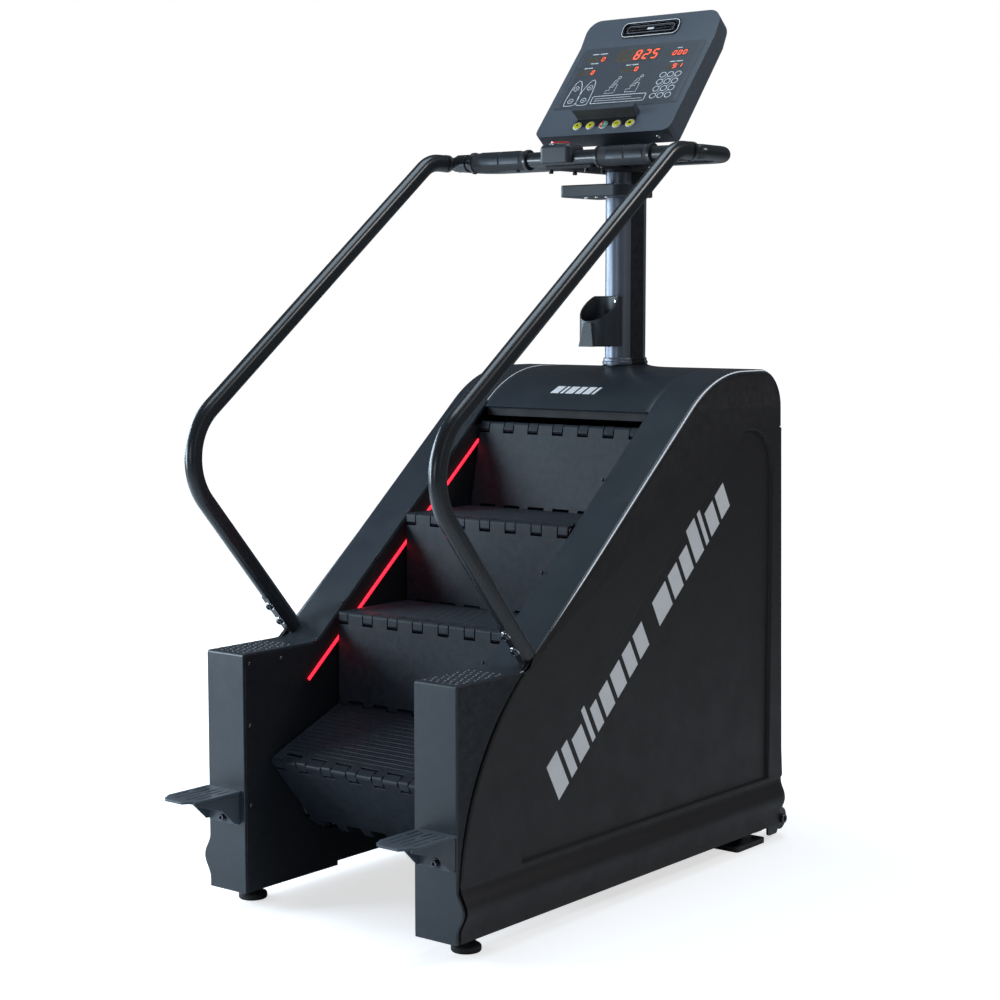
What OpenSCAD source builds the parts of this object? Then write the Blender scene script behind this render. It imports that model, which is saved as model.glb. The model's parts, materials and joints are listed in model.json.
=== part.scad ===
// Stair climber: a revolving staircase between two covered sides, with handrails and a console.
// The step loop runs at rest with one tread tilted under at the bottom and one riser leaning at the top.
// Every piece is drawn in machine millimetres: X across, Y from the user to the console, Z up,
// with Y = 0 on the front posts, and is then moved so the origin is under the middle of the machine.

/* [Stairs] */
// Height of one step
step_rise = 200; // [180:1:210]
// Depth of one tread, from nose to riser
tread_depth = 230; // [215:1:235]
// Width of the treads and risers
step_w = 458; // [400:1:458]
// Thickness of a tread or riser panel
panel_t = 18; // [14:1:20]
// Radius of the rods that hinge the panels
rod_r = 6; // [4:0.5:7]

/* [Body] */
// Width of the stair well between the inner walls
well_w = 474; // [470:1:500]
// Width of each front post and of the sloping trim
post_w = 108; // [90:1:110]
// Height of the front post tops
post_top_z = 554; // [530:1:570]
// Height of the body at the foot of the column
crest_z = 1136; // [1130:1:1160]
// Height of the covers above the floor
skirt_z = 38; // [30:1:45]
// How far the rounded skirt stands out at each side
skirt_bulge = 17; // [5:1:25]
// Thickness of the covers
cover_t = 4; // [3:0.5:6]

/* [Column and handrails] */
// Height of the hand bar's centre above the floor
bar_z = 1618; // [1580:1:1640]
// Radius of the hand bar tube
bar_r = 17.5; // [14:0.5:20]
// Half the distance between the handrails at the hand bar
rail_x = 346; // [330:1:360]
// Width of the oval column, side to side
column_w = 66; // [50:1:80]
// Depth of the oval column, front to back
column_d = 120; // [100:1:130]

/* [Console] */
// Width of the console
console_w = 384; // [340:1:420]
// Travel of the stop button
stop_travel = 4; // [2:0.5:5]
// Radius of the console's round buttons
button_r = 12; // [9:0.5:14]

/* [Hidden] */
$fn = 48;

// Step loop: eight treads and eight risers on two chains over two pairs of sprockets.
slope = atan2(step_rise, tread_depth);
step_pitch = norm([step_rise, tread_depth]);
links_per_step = 8;
sprocket_teeth = 17;
chain_pitch = step_pitch / links_per_step;
sprocket_r = chain_pitch / (2 * sin(180 / sprocket_teeth));
shaft_gap = 4 * step_pitch - PI * sprocket_r;
face_to_rod = 12;
first_hinge = [300, 401];
run_to_sprocket = 122;
uphill = [cos(slope), sin(slope)];
inward = [sin(slope), -cos(slope)];
lower_axis = first_hinge - run_to_sprocket * uphill + sprocket_r * inward;
upper_axis = lower_axis + shaft_gap * uphill;
loop_middle = (lower_axis + upper_axis) / 2;
hinge_1 = first_hinge;
hinge_2 = hinge_1 + step_pitch * uphill;
hinge_3 = hinge_2 + step_pitch * uphill;
// Angles of the four panels that have left the straight flight, from the horizontal.
bottom_tread_angle = 22;
bottom_riser_angle = 129.5;
top_riser_angle = 78.5;
top_tread_angle = -22;
nose_1 = hinge_1 + [0, step_rise];
nose_2 = hinge_2 + [0, step_rise];
nose_3 = hinge_3 + step_rise * [cos(top_riser_angle), sin(top_riser_angle)];
nose_0 = hinge_1 - tread_depth * [cos(bottom_tread_angle), sin(bottom_tread_angle)];

shaft_r = 16;
run_clear = 0.05;

// Body outline.
half_well = well_w / 2;
half_body = half_well + post_w;
rim_a = [251, 577];
slope_a = 40;
rear_top = [1210, 1060];
rear_foot = [1236, skirt_z + 112];
skirt_top = 152;
skirt_low = 56;
plate_t = 3;
gap = 1;

// The machine runs from the pedal tips to the transport wheels.
pedal_tip_y = -148;
wheel_axis = [1240, 48];
wheel_r = 32;
mid_y = (pedal_tip_y + wheel_axis[0] + wheel_r) / 2;

// Console frame: its face leans back from the bottom edge.
face_low = [945, 1680];
face_lean = 50;
face_len = 296;
housing_t = 46;
console_r = 34;

module machine() { translate([0, -mid_y, 0]) children(); }
// Extrudes an outline drawn in Y and Z from x0 to x1.
module slab(x0, x1) { translate([x0, 0, 0]) rotate([90, 0, 90]) linear_extrude(x1 - x0) children(); }
module box(lo, hi) { translate(lo) cube(hi - lo); }
module rod_x(x0, x1, p, r) { translate([x0, p[0], p[1]]) rotate([0, 90, 0]) cylinder(h = x1 - x0, r = r); }
module both_sides() { children(); mirror([1, 0, 0]) children(); }
// A rectangle with round corners, as exact arcs.
module round_rect(size, r) {
    translate([r, 0]) square([size[0] - 2 * r, size[1]]);
    translate([0, r]) square([size[0], size[1] - 2 * r]);
    for (x = [r, size[0] - r], y = [r, size[1] - r]) translate([x, y]) circle(r);
}
// A flat oval, long along Y.
module flat_oval(w, d) {
    square([w, d - w], center = true);
    for (s = [-1, 1]) translate([0, s * (d - w) / 2]) circle(w / 2);
}
// The closed track of the step loop, r from the line between the sprockets.
// Its straight band is a touch narrower than the two circles, so that their edges cross.
band_step = 0.1;
module loop_shape(r) {
    translate(lower_axis) circle(r);
    translate(upper_axis) circle(r);
    half = r - band_step;
    translate(lower_axis) rotate(slope) translate([0, -half]) square([shaft_gap, 2 * half]);
}

/* Body outline in Y and Z */
function on_circle(c, r, a) = c + r * [cos(a), sin(a)];
function arc_points(c, r, a0, a1, n) = [for (i = [0:n]) on_circle(c, r, a0 + (a1 - a0) * i / n)];
crest_r = 330;
rear_r = 92;
rear_c = [rear_top[0] - rear_r, crest_z - rear_r];
// The slope meets the crest in a long arc that ends level at the crest height.
crest_y = rim_a[0] + (crest_z - rim_a[1]) / tan(slope_a) + crest_r * tan(slope_a / 2);
toe_r = 60;
toe_y = rim_a[0] - (rim_a[1] - post_top_z) / tan(slope_a) - toe_r * tan(slope_a / 2);
top_line = concat(
    arc_points([toe_y, post_top_z + toe_r], toe_r, 270, 270 + slope_a, 8),
    arc_points([crest_y, crest_z - crest_r], crest_r, 90 + slope_a, 90, 14),
    arc_points(rear_c, rear_r, 90, 0, 10));
module side_outline() {
    polygon(concat([[0, skirt_z], [0, post_top_z]], top_line, [rear_foot, [rear_foot[0] - 30, skirt_z]]));
}
front_arc_c = [607, 98.6];
front_arc_r = 596.4;
// The side cover starts behind a curved joint that sweeps down the front post.
module cover_outline() {
    intersection() {
        side_outline();
        polygon(concat(arc_points(front_arc_c, front_arc_r, 184, 126.7, 16),
            [[400, 1200], [1300, 1200], [1300, 0], [13, 0]]));
    }
}
function skirt_x(z) = half_body + (z > skirt_low && z < skirt_top
    ? skirt_bulge * (1 - cos(360 * (z - skirt_low) / (skirt_top - skirt_low))) / 2 : 0);
skirt_levels = [for (i = [0:16]) skirt_low + (skirt_top - skirt_low) * i / 16];
// Cross-section of the bulging skirt in X and Z, from x0 outwards.
module skirt_section(x0, inset) {
    polygon(concat([[x0, skirt_z]], [[half_body - inset, skirt_z]],
        [for (z = skirt_levels) [skirt_x(z) - inset, z]], [[half_body - inset, 170], [x0, 170]]));
}
module along_y(y0, y1) { translate([0, y1, 0]) rotate([90, 0, 0]) linear_extrude(y1 - y0) children(); }

/* Frame */
module square_tube(x, y0, z0, y1, z1, w, h) {
    // A rectangular tube along a line in Y and Z at one X.
    len = norm([y1 - y0, z1 - z0]);
    translate([x, y0, z0]) rotate([atan2(z1 - z0, y1 - y0), 0, 0]) difference() {
        translate([-w / 2, 0, -h / 2]) cube([w, len, h]);
        translate([-w / 2 + 3, -1, -h / 2 + 3]) cube([w - 6, len + 2, h - 6]);
    }
}
module cross_tube(y, z, w, h, half) {
    difference() {
        box([-half, y - w / 2, z - h / 2], [half, y + w / 2, z + h / 2]);
        box([-half - 1, y - w / 2 + 3, z - h / 2 + 3], [half + 1, y + w / 2 - 3, z + h / 2 - 3]);
    }
}
frame_x = 288;
shaft_plate_x = 252;
shaft_plate_r = 62;
// The front tie stands well back, clear of the open front of the stair well.
tie_y = 600;
module wheel_fork() {
    // Two hooked plates that carry one transport wheel.
    for (x = [294, 334]) slab(x, x + 5) difference() {
        union() {
            translate(wheel_axis) circle(27);
            translate([1168, 38]) square([72, 37]);
            translate([1183, 14]) round_rect([44, 40], 8);
        }
        translate(wheel_axis) circle(8.05);
    }
}
module main_frame() color([0.10, 0.10, 0.11]) machine() {
    both_sides() {
        square_tube(frame_x, 40, 64, 1190, 64, 60, 40);
        square_tube(frame_x, 60, 84, 60, 500, 50, 40);
        square_tube(frame_x, 1180, 84, 1180, 1000, 50, 40);
        square_tube(frame_x, 110, 415, 850, 1036, 50, 40);
        square_tube(frame_x, 840, 1040, 1200, 1040, 50, 40);
        // Plates that carry the two shafts, cut clear of the chains.
        slab(shaft_plate_x, shaft_plate_x + 6) difference() {
            union() {
                loop_shape(shaft_plate_r);
                translate([lower_axis[0] - 30, 60]) square([60, 180]);
                translate([upper_axis[0] - 30, upper_axis[1]]) square([60, 200]);
            }
            for (a = [lower_axis, upper_axis]) translate(a) circle(26);
        }
        box([shaft_plate_x, lower_axis[0] - 30, 60], [262, lower_axis[0] + 30, 80]);
        box([shaft_plate_x, upper_axis[0] - 30, 1022], [266, upper_axis[0] + 30, 1036]);
        wheel_fork();
        box([290, 1150, 60], [339, 1172, 75]);
    }
    cross_tube(tie_y, 64, 36, 34, 262);
    cross_tube(1168, 64, 40, 34, 262);
    cross_tube(1057, 1066, 110, 40, 312);
    box([-80, 1000, 1086], [80, 1114, 1094]);
    // The motor shelf.
    box([-262, 1000, 81], [262, 1148, 87]);
    box([-262, 1148, 47], [262, 1150, 87]);
}
module bearing_blocks() color([0.25, 0.27, 0.28]) machine() {
    both_sides() for (a = [lower_axis, upper_axis]) difference() {
        union() {
            rod_x(shaft_plate_x + 6.2, shaft_plate_x + 24, a, 30);
            slab(shaft_plate_x + 6.2, shaft_plate_x + 12) translate(a) for (s = [-1, 1]) {
                translate([s * 38, 0]) circle(12);
                translate([s > 0 ? 0 : -38, -12]) square([38, 24]);
            }
        }
        rod_x(shaft_plate_x, shaft_plate_x + 30, a, shaft_r + run_clear);
    }
}

/* Covers */
module ring_outline() { difference() { side_outline(); offset(delta = -cover_t) side_outline(); } }
module post_section(inset) {
    top = post_top_z - 6;
    polygon(concat([[half_well, skirt_z], [half_body - inset, skirt_z]],
        [for (z = skirt_levels) [skirt_x(z) - inset, z]], [[half_body - inset, top], [half_well, top]]));
}
module trim() {
    // Top band from the post, up the slope and over the crest.
    slab(half_well, half_body) difference() {
        ring_outline();
        translate([-1, 0]) square([1300, 60]);
        translate([1100, 0]) square([200, 1000]);
    }
    // Post front, with the skirt's outline at its outer edge.
    along_y(0, cover_t) post_section(0);
    // Narrow outer face of the post, up to the curved joint.
    slab(half_body - cover_t, half_body) difference() {
        side_outline();
        offset(delta = gap) cover_outline();
        translate([-1, 0]) square([1300, skirt_z]);
        translate([330, 0]) square([1000, 1300]);
    }
    difference() {
        along_y(0, 10) post_section(0);
        along_y(-1, 11) post_section(cover_t);
        box([0, -1, 170], [400, 20, 600]);
    }
    // Raised grip studs on the post top.
    for (x = [0:5], y = [0:8])
        translate([half_well + 16 + x * 15, 22 + y * 18 + (x % 2) * 9, post_top_z - 1])
            cylinder(h = 2.5, r = 3, $fn = 16);
}
module right_trim() color([0.07, 0.08, 0.10]) machine() trim();
module left_trim() color([0.07, 0.08, 0.10]) machine() mirror([1, 0, 0]) trim();

recess_low = [208, 158];
recess_rear = 1174;
recess_d = 10;
module recess_shape() {
    // Sunken field of the side cover: straight bottom and rear, round top corner, sloping front.
    polygon(concat([recess_low, [recess_rear, recess_low[1]]],
        arc_points([recess_rear - 98, 900], 98, 0, 112, 12), [[320, 377], [246, 288], [218, 222]]));
}
module side_cover() {
    difference() {
        slab(half_body - cover_t, half_body) cover_outline();
        slab(half_body - cover_t - 1, half_body + 1) recess_shape();
        box([300, -1, 0], [400, 1300, skirt_low]);
        // Room for the trim's band, along the top and down the rear to the rear cover.
        slab(300, 400) intersection() {
            offset(delta = 0.2) ring_outline();
            union() {
                translate([-1, 0]) square([1101, 1300]);
                translate([1099, rear_cover_top + 1.8]) square([200, 300]);
            }
        }
    }
    slab(half_body - recess_d - cover_t, half_body - recess_d) offset(delta = cover_t - 0.01) recess_shape();
    slab(half_body - recess_d - 0.1, half_body) difference() {
        offset(delta = cover_t) recess_shape();
        recess_shape();
    }
    along_y(13, 1228) difference() {
        skirt_section(half_body - cover_t, 0);
        skirt_section(half_body - cover_t - 1, cover_t);
        translate([300, skirt_top]) square([100, 50]);
    }
}
module right_side_cover() color([0.09, 0.085, 0.09]) machine() side_cover();
module left_side_cover() color([0.09, 0.085, 0.09]) machine() mirror([1, 0, 0]) side_cover();

slot_r = sprocket_r + rod_r + 5;
module inner_wall() {
    slab(half_well - plate_t, half_well - 0.2) difference() {
        offset(delta = -cover_t - 0.3) side_outline();
        loop_shape(slot_r);
        translate([-1, 0]) square([1300, 50]);
        // Notches over the cross tubes, and the slot for the motor shelf.
        for (y = [tie_y, 1168]) translate([y - 21, 40]) square([42, 42]);
        translate([999, 40]) square([152, 48]);
        polygon([[700, 1001], [700, 1300], [1300, 1300], [1300, 1001]]);
        translate([1198, 0]) square([100, 1200]);
    }
    slab(half_well - plate_t, half_well - 0.2) translate([cover_t + 0.5, 40]) square([280, 12]);
}
module right_inner_wall() color([0.08, 0.09, 0.10]) machine() difference() {
    inner_wall();
    rod_x(half_well - 10, half_well + 10, motor_axis, motor_r + 1);
}
module left_inner_wall() color([0.08, 0.09, 0.10]) machine() mirror([1, 0, 0]) inner_wall();

top_front_y = 812;
module top_cover() color([0.07, 0.08, 0.10]) machine() {
    difference() {
        slab(-half_well + gap, half_well - gap) difference() {
            ring_outline();
            translate([-1, 0]) square([top_front_y + 1, 1300]);
            translate([800, 0]) square([500, 1004]);
        }
        translate([0, column_y, 1100]) linear_extrude(80) flat_oval(column_w + 2, column_d + 2);
    }
    // Lip that turns down behind the front edge.
    box([-half_well + gap, top_front_y + 1, 1034], [half_well - gap, top_front_y + 4, 1046]);
    // Raised foot of the column.
    translate([0, column_y, crest_z - 1]) difference() {
        linear_extrude(8) flat_oval(column_w + 26, column_d + 26);
        translate([0, 0, -1]) linear_extrude(12) flat_oval(column_w + 2, column_d + 2);
    }
}
rear_cover_top = 998;
module rear_cover() color([0.09, 0.085, 0.09]) machine() {
    difference() {
        slab(-half_body + cover_t + gap, half_body - cover_t - gap) intersection() {
            ring_outline();
            translate([1190, 60]) square([60, rear_cover_top - 60]);
        }
        // Notches over the transport wheels.
        for (x = [-360, 286]) box([x, 1180, 50], [x + 74, 1260, 84]);
        // Cooling slots beside the motor, and the opening for the mains inlet.
        for (z = [0:6]) box([-110, 1180, 260 + z * 22], [110, 1260, 268 + z * 22]);
        box([150, 1180, 110], [200, 1260, 140]);
    }
}
module led_strips() color([0.9, 0.05, 0.05]) machine() {
    both_sides() slab(half_well - plate_t - 3, half_well - plate_t - 0.1)
        translate([197, 471]) rotate(39.8) square([770, 7]);
}

/* Column, handrails and bar */
column_y = 1057;
module column() color([0.10, 0.11, 0.13]) machine() {
    translate([0, column_y, 1094.2]) difference() {
        linear_extrude(499.6) flat_oval(column_w, column_d);
        translate([0, 0, -1]) linear_extrude(508) flat_oval(column_w - 6, column_d - 6);
    }
}
module column_collar() color([0.11, 0.12, 0.14]) machine() {
    translate([0, column_y, crest_z + 7.2]) difference() {
        linear_extrude(16) flat_oval(column_w + 9, column_d + 9);
        translate([0, 0, -1]) linear_extrude(18) flat_oval(column_w + 0.4, column_d + 0.4);
    }
}
cup_r = 46;
cup_y = column_y - column_d / 2 - cup_r - 1;
cup_z = [1187, 1304];
module bottle_holder() color([0.09, 0.10, 0.11]) machine() difference() {
    union() {
        translate([0, cup_y, cup_z[0]]) cylinder(h = cup_z[1] - cup_z[0], r = cup_r);
        box([-28, cup_y + 20, cup_z[0]], [28, column_y - column_d / 2 - 0.2, cup_z[1]]);
    }
    translate([0, cup_y, cup_z[0] + 4]) cylinder(h = 140, r = cup_r - 3.5);
    // The rim falls from the column to the front, leaving a low front lip.
    translate([-60, cup_y - cup_r - 1, cup_z[0] + 58]) rotate([38, 0, 0]) cube([120, 220, 120]);
    rod_y([0, 1280], 900, 1000, 3);
}
module rod_y(p, y0, y1, r) { translate([p[0], y0, p[1]]) rotate([-90, 0, 0]) cylinder(h = y1 - y0, r = r); }
shelf_y = [900, 1055];
module accessory_shelf() color([0.09, 0.10, 0.11]) machine() difference() {
    translate([-82, shelf_y[0], 1534]) linear_extrude(28) round_rect([164, shelf_y[1] - shelf_y[0]], 12);
    translate([-76, shelf_y[0] + 6, 1540]) linear_extrude(30) round_rect([152, 70], 8);
    translate([0, column_y, 1500]) linear_extrude(100) flat_oval(column_w + 0.4, column_d + 0.4);
}

bar_front = 829;
bar_rear = 973;
bend_r = 55;
module ring_tube(inset) {
    // Closed hand bar loop: a level rectangle of round tube with bent corners.
    x = rail_x - bend_r;
    for (y = [bar_front, bar_rear]) rod_x(-x, x, [y, bar_z], bar_r - inset);
    for (s = [-1, 1]) {
        translate([s * rail_x, bar_front, bar_z]) rotate([-90, 0, 0])
            cylinder(h = bar_rear - bend_r - bar_front, r = bar_r - inset);
        translate([s * x, bar_rear - bend_r, bar_z]) rotate([0, 0, s > 0 ? 0 : 90])
            rotate_extrude(angle = 90) translate([bend_r, 0]) circle(bar_r - inset);
        translate([s * x, bar_front, bar_z]) rotate([0, 90, 0]) translate([0, 0, s > 0 ? 0 : -bend_r])
            cylinder(h = bend_r, r = bar_r - inset);
    }
}
module handlebar_loop() color([0.08, 0.09, 0.10]) machine() {
    ring_tube(0);
    // Strap that carries the loop on the column.
    box([-strap_half, bar_front - 6, strap_z[0]], [strap_half, 1112, strap_z[1]]);
}
// Handrails: straight lower leg, wide bend, straight upper leg and a level end.
rail_foot = [262, 559];
leg_a = -49.2;
rise_a = 37;
rail_w = 30;
rail_d = 40;
wide_r = 135;
top_r = 90;
splay = 1.04;
// Where the two straight legs would meet.
elbow = [-102, 981];
turn = 180 - (rise_a - leg_a);
cut_a = wide_r * tan(turn / 2);
cut_b = top_r * tan(rise_a / 2);
leg_start = elbow + norm(rail_foot - elbow) * [cos(leg_a), sin(leg_a)];
top_corner = [elbow[0] + (bar_z - elbow[1]) / tan(rise_a), bar_z];
// The rail's flat oval section, long in the plane of the bends, with its round ends in short flats.
rail_end_flats = 8;
module rail_section(inset = 0) {
    r = rail_w / 2 - inset;
    polygon([for (s = [1, -1], i = [0:rail_end_flats])
        [0, s * (rail_d - rail_w) / 2] + r * [cos((s > 0 ? 0 : 180) + 180 * i / rail_end_flats),
            sin((s > 0 ? 0 : 180) + 180 * i / rail_end_flats)]]);
}
// Each straight length is a hair slimmer than the bends and is socketed a little way into them.
rail_socket = 1;
rail_slim = 0.1;
module straight_rail(p, q) {
    // Oval tube between two points in Y and Z.
    d = q - p;
    translate([0, p[0], p[1]]) rotate([atan2(d[1], d[0]) - 90, 0, 0])
        translate([0, 0, -rail_socket]) linear_extrude(norm(d) + 2 * rail_socket) rail_section(rail_slim);
}
module bent_rail(c, r, a0, a1) {
    // Oval tube around a centre in Y and Z.
    translate([0, c[0], c[1]]) rotate([90, 0, 90]) rotate([0, 0, a0])
        rotate_extrude(angle = a1 - a0) translate([r, 0]) rotate(90) rail_section();
}
module rail_path() {
    dir_a = [cos(leg_a), sin(leg_a)];
    dir_b = [cos(rise_a), sin(rise_a)];
    start_bend = elbow + cut_a * dir_a;
    end_bend = elbow + cut_a * dir_b;
    centre = elbow + wide_r / cos(turn / 2) * [cos((leg_a + rise_a) / 2), sin((leg_a + rise_a) / 2)];
    straight_rail(leg_start - rail_socket * dir_a, start_bend);
    bent_rail(centre, wide_r, 90 + rise_a, 270 + leg_a);
    straight_rail(end_bend, top_corner - cut_b * dir_b);
    bent_rail([top_corner[0] + cut_b, bar_z - top_r], top_r, 90, 90 + rise_a);
    straight_rail([top_corner[0] + cut_b, bar_z], [bar_front - 30 - rail_socket, bar_z]);
}
screw_seat = rail_d / 2 + 0.2;
module rail_frame() {
    translate([rail_x, 0, bar_z]) rotate([0, splay, 0]) translate([0, 0, -bar_z]) children();
}
// The foot of each rail is cut to the slope of the trim it stands on.
module handrail() difference() {
    rail_frame() rail_path();
    slab(half_well, half_body + 20) offset(delta = 0.2) side_outline();
}
module right_handrail() color([0.08, 0.09, 0.10]) machine() handrail();
module left_handrail() color([0.08, 0.09, 0.10]) machine() mirror([1, 0, 0]) handrail();
module handrail_sleeves() color([0.12, 0.13, 0.15]) machine() {
    both_sides() difference() {
        union() {
            rod_y([rail_x, bar_z], bar_front - 29.8, bar_front - 18.2, 20.5);
            rod_x(296, 326, [bar_front, bar_z], 20.5);
        }
        rod_x(290, 330, [bar_front, bar_z], bar_r + 0.1);
    }
}
grips = [[-282, -112], [82, 234]];
module hand_grips() color([0.06, 0.06, 0.07]) machine() {
    for (g = grips) difference() {
        rod_x(g[0], g[1], [bar_front, bar_z], 22);
        rod_x(g[0] - 1, g[1] + 1, [bar_front, bar_z], bar_r + 0.1);
    }
}
module pulse_sensors() color([0.75, 0.77, 0.78]) machine() {
    for (g = grips, k = [0, 1]) difference() {
        x = g[0] + 26 + k * (g[1] - g[0] - 48) / 2;
        rod_x(x, x + (g[1] - g[0] - 60) / 2, [bar_front, bar_z], 23.4);
        rod_x(x - 1, x + 100, [bar_front, bar_z], 22.1);
        box([-400, bar_front - 40, bar_z - 40], [400, bar_front + 40, bar_z - 4]);
    }
}
switch_x = [-65, 22];
// The switch box sits on the bar like a saddle: how far its skirt and its top are from the bar's axis.
switch_drop = 11;
switch_rise = 32;
strap_half = 70;
strap_z = [bar_z - 24, bar_z - 16];
module stop_switch_box() color([0.07, 0.08, 0.09]) machine() difference() {
    translate([switch_x[0], bar_front - 32, bar_z - switch_drop])
        linear_extrude(switch_drop + switch_rise) round_rect([switch_x[1] - switch_x[0], 64], 10);
    rod_x(-100, 100, [bar_front, bar_z], bar_r + 0.1);
    translate([-26, bar_front, bar_z + 26 - stop_travel]) cylinder(h = 20, r = 24);
    translate([-26, bar_front, bar_z + 18]) cylinder(h = 20, r = 8.05);
}
module stop_button() color([0.85, 0.08, 0.06]) machine() {
    translate([-26, bar_front, bar_z + 28]) cylinder(h = 10, r = 23);
    stem_low = bar_r + 1.1 + stop_travel;
    translate([-26, bar_front, bar_z + stem_low]) cylinder(h = 28.6 - stem_low, r = 8);
}

/* Console */
face_top = face_low + face_len * [cos(face_lean), sin(face_lean)];
brow_lean = 60;
brow_len = 78;
brow_top = face_top + brow_len * [cos(brow_lean), sin(brow_lean)];
back_low = face_low + [46, -24];
back_mid = face_top + housing_t * [sin(55), -cos(55)];
back_top = brow_top + (housing_t - 6) * [sin(brow_lean), -cos(brow_lean)];
console_shell_t = 3.5;
panel_edge = 13;
module face_frame() { translate([0, face_low[0], face_low[1]]) rotate([face_lean, 0, 0]) children(); }
module brow_frame() { translate([0, face_top[0], face_top[1]]) rotate([brow_lean, 0, 0]) children(); }
module console_outline(edge, r) {
    face_frame() translate([-console_w / 2 + edge, edge - 30, -100])
        linear_extrude(200) round_rect([console_w - 2 * edge, face_len + brow_len - 2 * edge + 30], r);
}
module console_profile(d) {
    offset(delta = -d) polygon([face_low, face_top, brow_top, back_top, back_mid, back_low]);
}
function inside_face(d) = [
    face_low - d * [-sin(face_lean), cos(face_lean)],
    face_top - d * [-sin(55), cos(55)],
    brow_top - d * [-sin(brow_lean), cos(brow_lean)]];
module face_layer(d0, d1, edge, r) {
    // The layer of the face between two depths, edge in from the outline.
    p = inside_face(d0);
    q = inside_face(d1);
    intersection() {
        slab(-console_w, console_w) polygon([p[0], p[1], p[2], q[2], q[1], q[0]]);
        face_frame() translate([-console_w / 2 + edge, edge, -100])
            linear_extrude(200) round_rect([console_w - 2 * edge, face_len + brow_len - 2 * edge], r);
    }
}
window_list = [[-66, 234, 124, 42], [-150, 241, 55, 18], [-155, 198, 47, 18],
    [-31, 198, 50, 18], [81, 241, 58, 20], [98, 198, 46, 18]];
button_x = [-75, -37.5, 0, 37.5, 75];
button_row = 28;
vent_size = [168, 44];
module console_housing() color([0.09, 0.10, 0.12]) machine() { housing_shell(); housing_posts(); }
module housing_shell() difference() {
    intersection() {
        slab(-console_w / 2, console_w / 2) console_profile(0);
        console_outline(0, console_r);
    }
    intersection() {
        slab(-console_w / 2 + console_shell_t, console_w / 2 - console_shell_t)
            console_profile(console_shell_t);
        console_outline(console_shell_t, console_r - console_shell_t);
    }
    face_layer(-1, 12, panel_edge - 0.2, console_r - panel_edge + 0.2);
    // Cable hole in the back, over the neck.
    translate([0, 1085, 1640]) cylinder(h = 160, r = 14);
}
// Posts inside the housing for the circuit board and the fan.
module housing_posts() {
    face_frame() for (x = [-140, 140], y = [60, 230]) translate([x, y, -42]) cylinder(h = 19.8, r = 4);
    brow_frame() translate([0, 40, -38.5]) cylinder(h = 22, r = 2);
}
module console_panel() color([0.12, 0.13, 0.16]) machine() difference() {
    face_layer(0, 3, panel_edge, console_r - panel_edge);
    face_frame() {
        for (w = window_list) translate([w[0], w[1], -1.5]) linear_extrude(5) square([w[2], w[3]]);
        for (x = button_x) translate([x, button_row, -6]) cylinder(h = 12, r = button_r + 0.08);
    }
    brow_frame() translate([-vent_size[0] / 2, 18, -8]) linear_extrude(16) round_rect(vent_size, 19);
}
module display_windows() color([0.5, 0.04, 0.04]) machine() face_frame()
    for (w = window_list) translate([w[0] + 0.1, w[1] + 0.1, -1.5])
        linear_extrude(1.2) square([w[2] - 0.2, w[3] - 0.2]);
module fan_grille() color([0.04, 0.04, 0.05]) machine() brow_frame() translate([-vent_size[0] / 2, 18, -6]) {
    difference() {
        translate([0.2, 0.2, 0]) linear_extrude(9) round_rect(vent_size - [0.4, 0.4], 19);
        translate([6, 6, -1]) linear_extrude(12) round_rect(vent_size - [12, 12], 13);
    }
    for (i = [0:2]) translate([3, 11 + i * 8, 3]) cube([vent_size[0] - 6, 2.5, 4]);
}
module fan_rotor() color([0.05, 0.05, 0.06]) machine() brow_frame() translate([0, 40, -24]) {
    difference() { cylinder(h = 12, r = 7); translate([0, 0, -1]) cylinder(h = 9, r = 2.05); }
    for (i = [0:6]) rotate(i * 360 / 7) translate([6, -1, 0])
        rotate([30, 0, 0]) translate([0, 0, 2]) cube([9, 1.6, 9]);
}
module console_board() color([0.05, 0.30, 0.12]) machine() face_frame() {
    difference() {
        translate([-150, 40, -22]) cube([300, 210, 1.6]);
        for (x = [-140, 140], y = [60, 230]) translate([x, y, -30]) cylinder(h = 20, r = 1.6);
    }
    for (x = [-100, 20]) translate([x, 90, -20.4]) cube([50, 30, 4]);
    translate([60, 190, -20.4]) cube([60, 24, 8]);
}
module console_button(i) color(i == 2 ? [0.8, 0.1, 0.1] : [0.9, 0.85, 0.05]) machine() face_frame()
    translate([button_x[i], button_row, -9]) cylinder(h = 12, r = button_r);
module button_1() console_button(0);
module button_2() console_button(1);
module button_3() console_button(2);
module button_4() console_button(3);
module button_5() console_button(4);
module console_neck() color([0.09, 0.10, 0.12]) machine() difference() {
    union() {
        translate([0, column_y, 1600.4]) linear_extrude(40) flat_oval(column_w + 10, column_d + 10);
        slab(-38, 38) polygon([[1000, 1640], [1112, 1640], [1112, 1770], [1058, 1728]]);
    }
    translate([0, column_y, 1590]) linear_extrude(140) flat_oval(column_w - 14, 70);
    slab(-300, 300) console_profile(-0.3);
    translate([-72, 800, 1590]) cube([144, 330, 12.3]);
}

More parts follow.
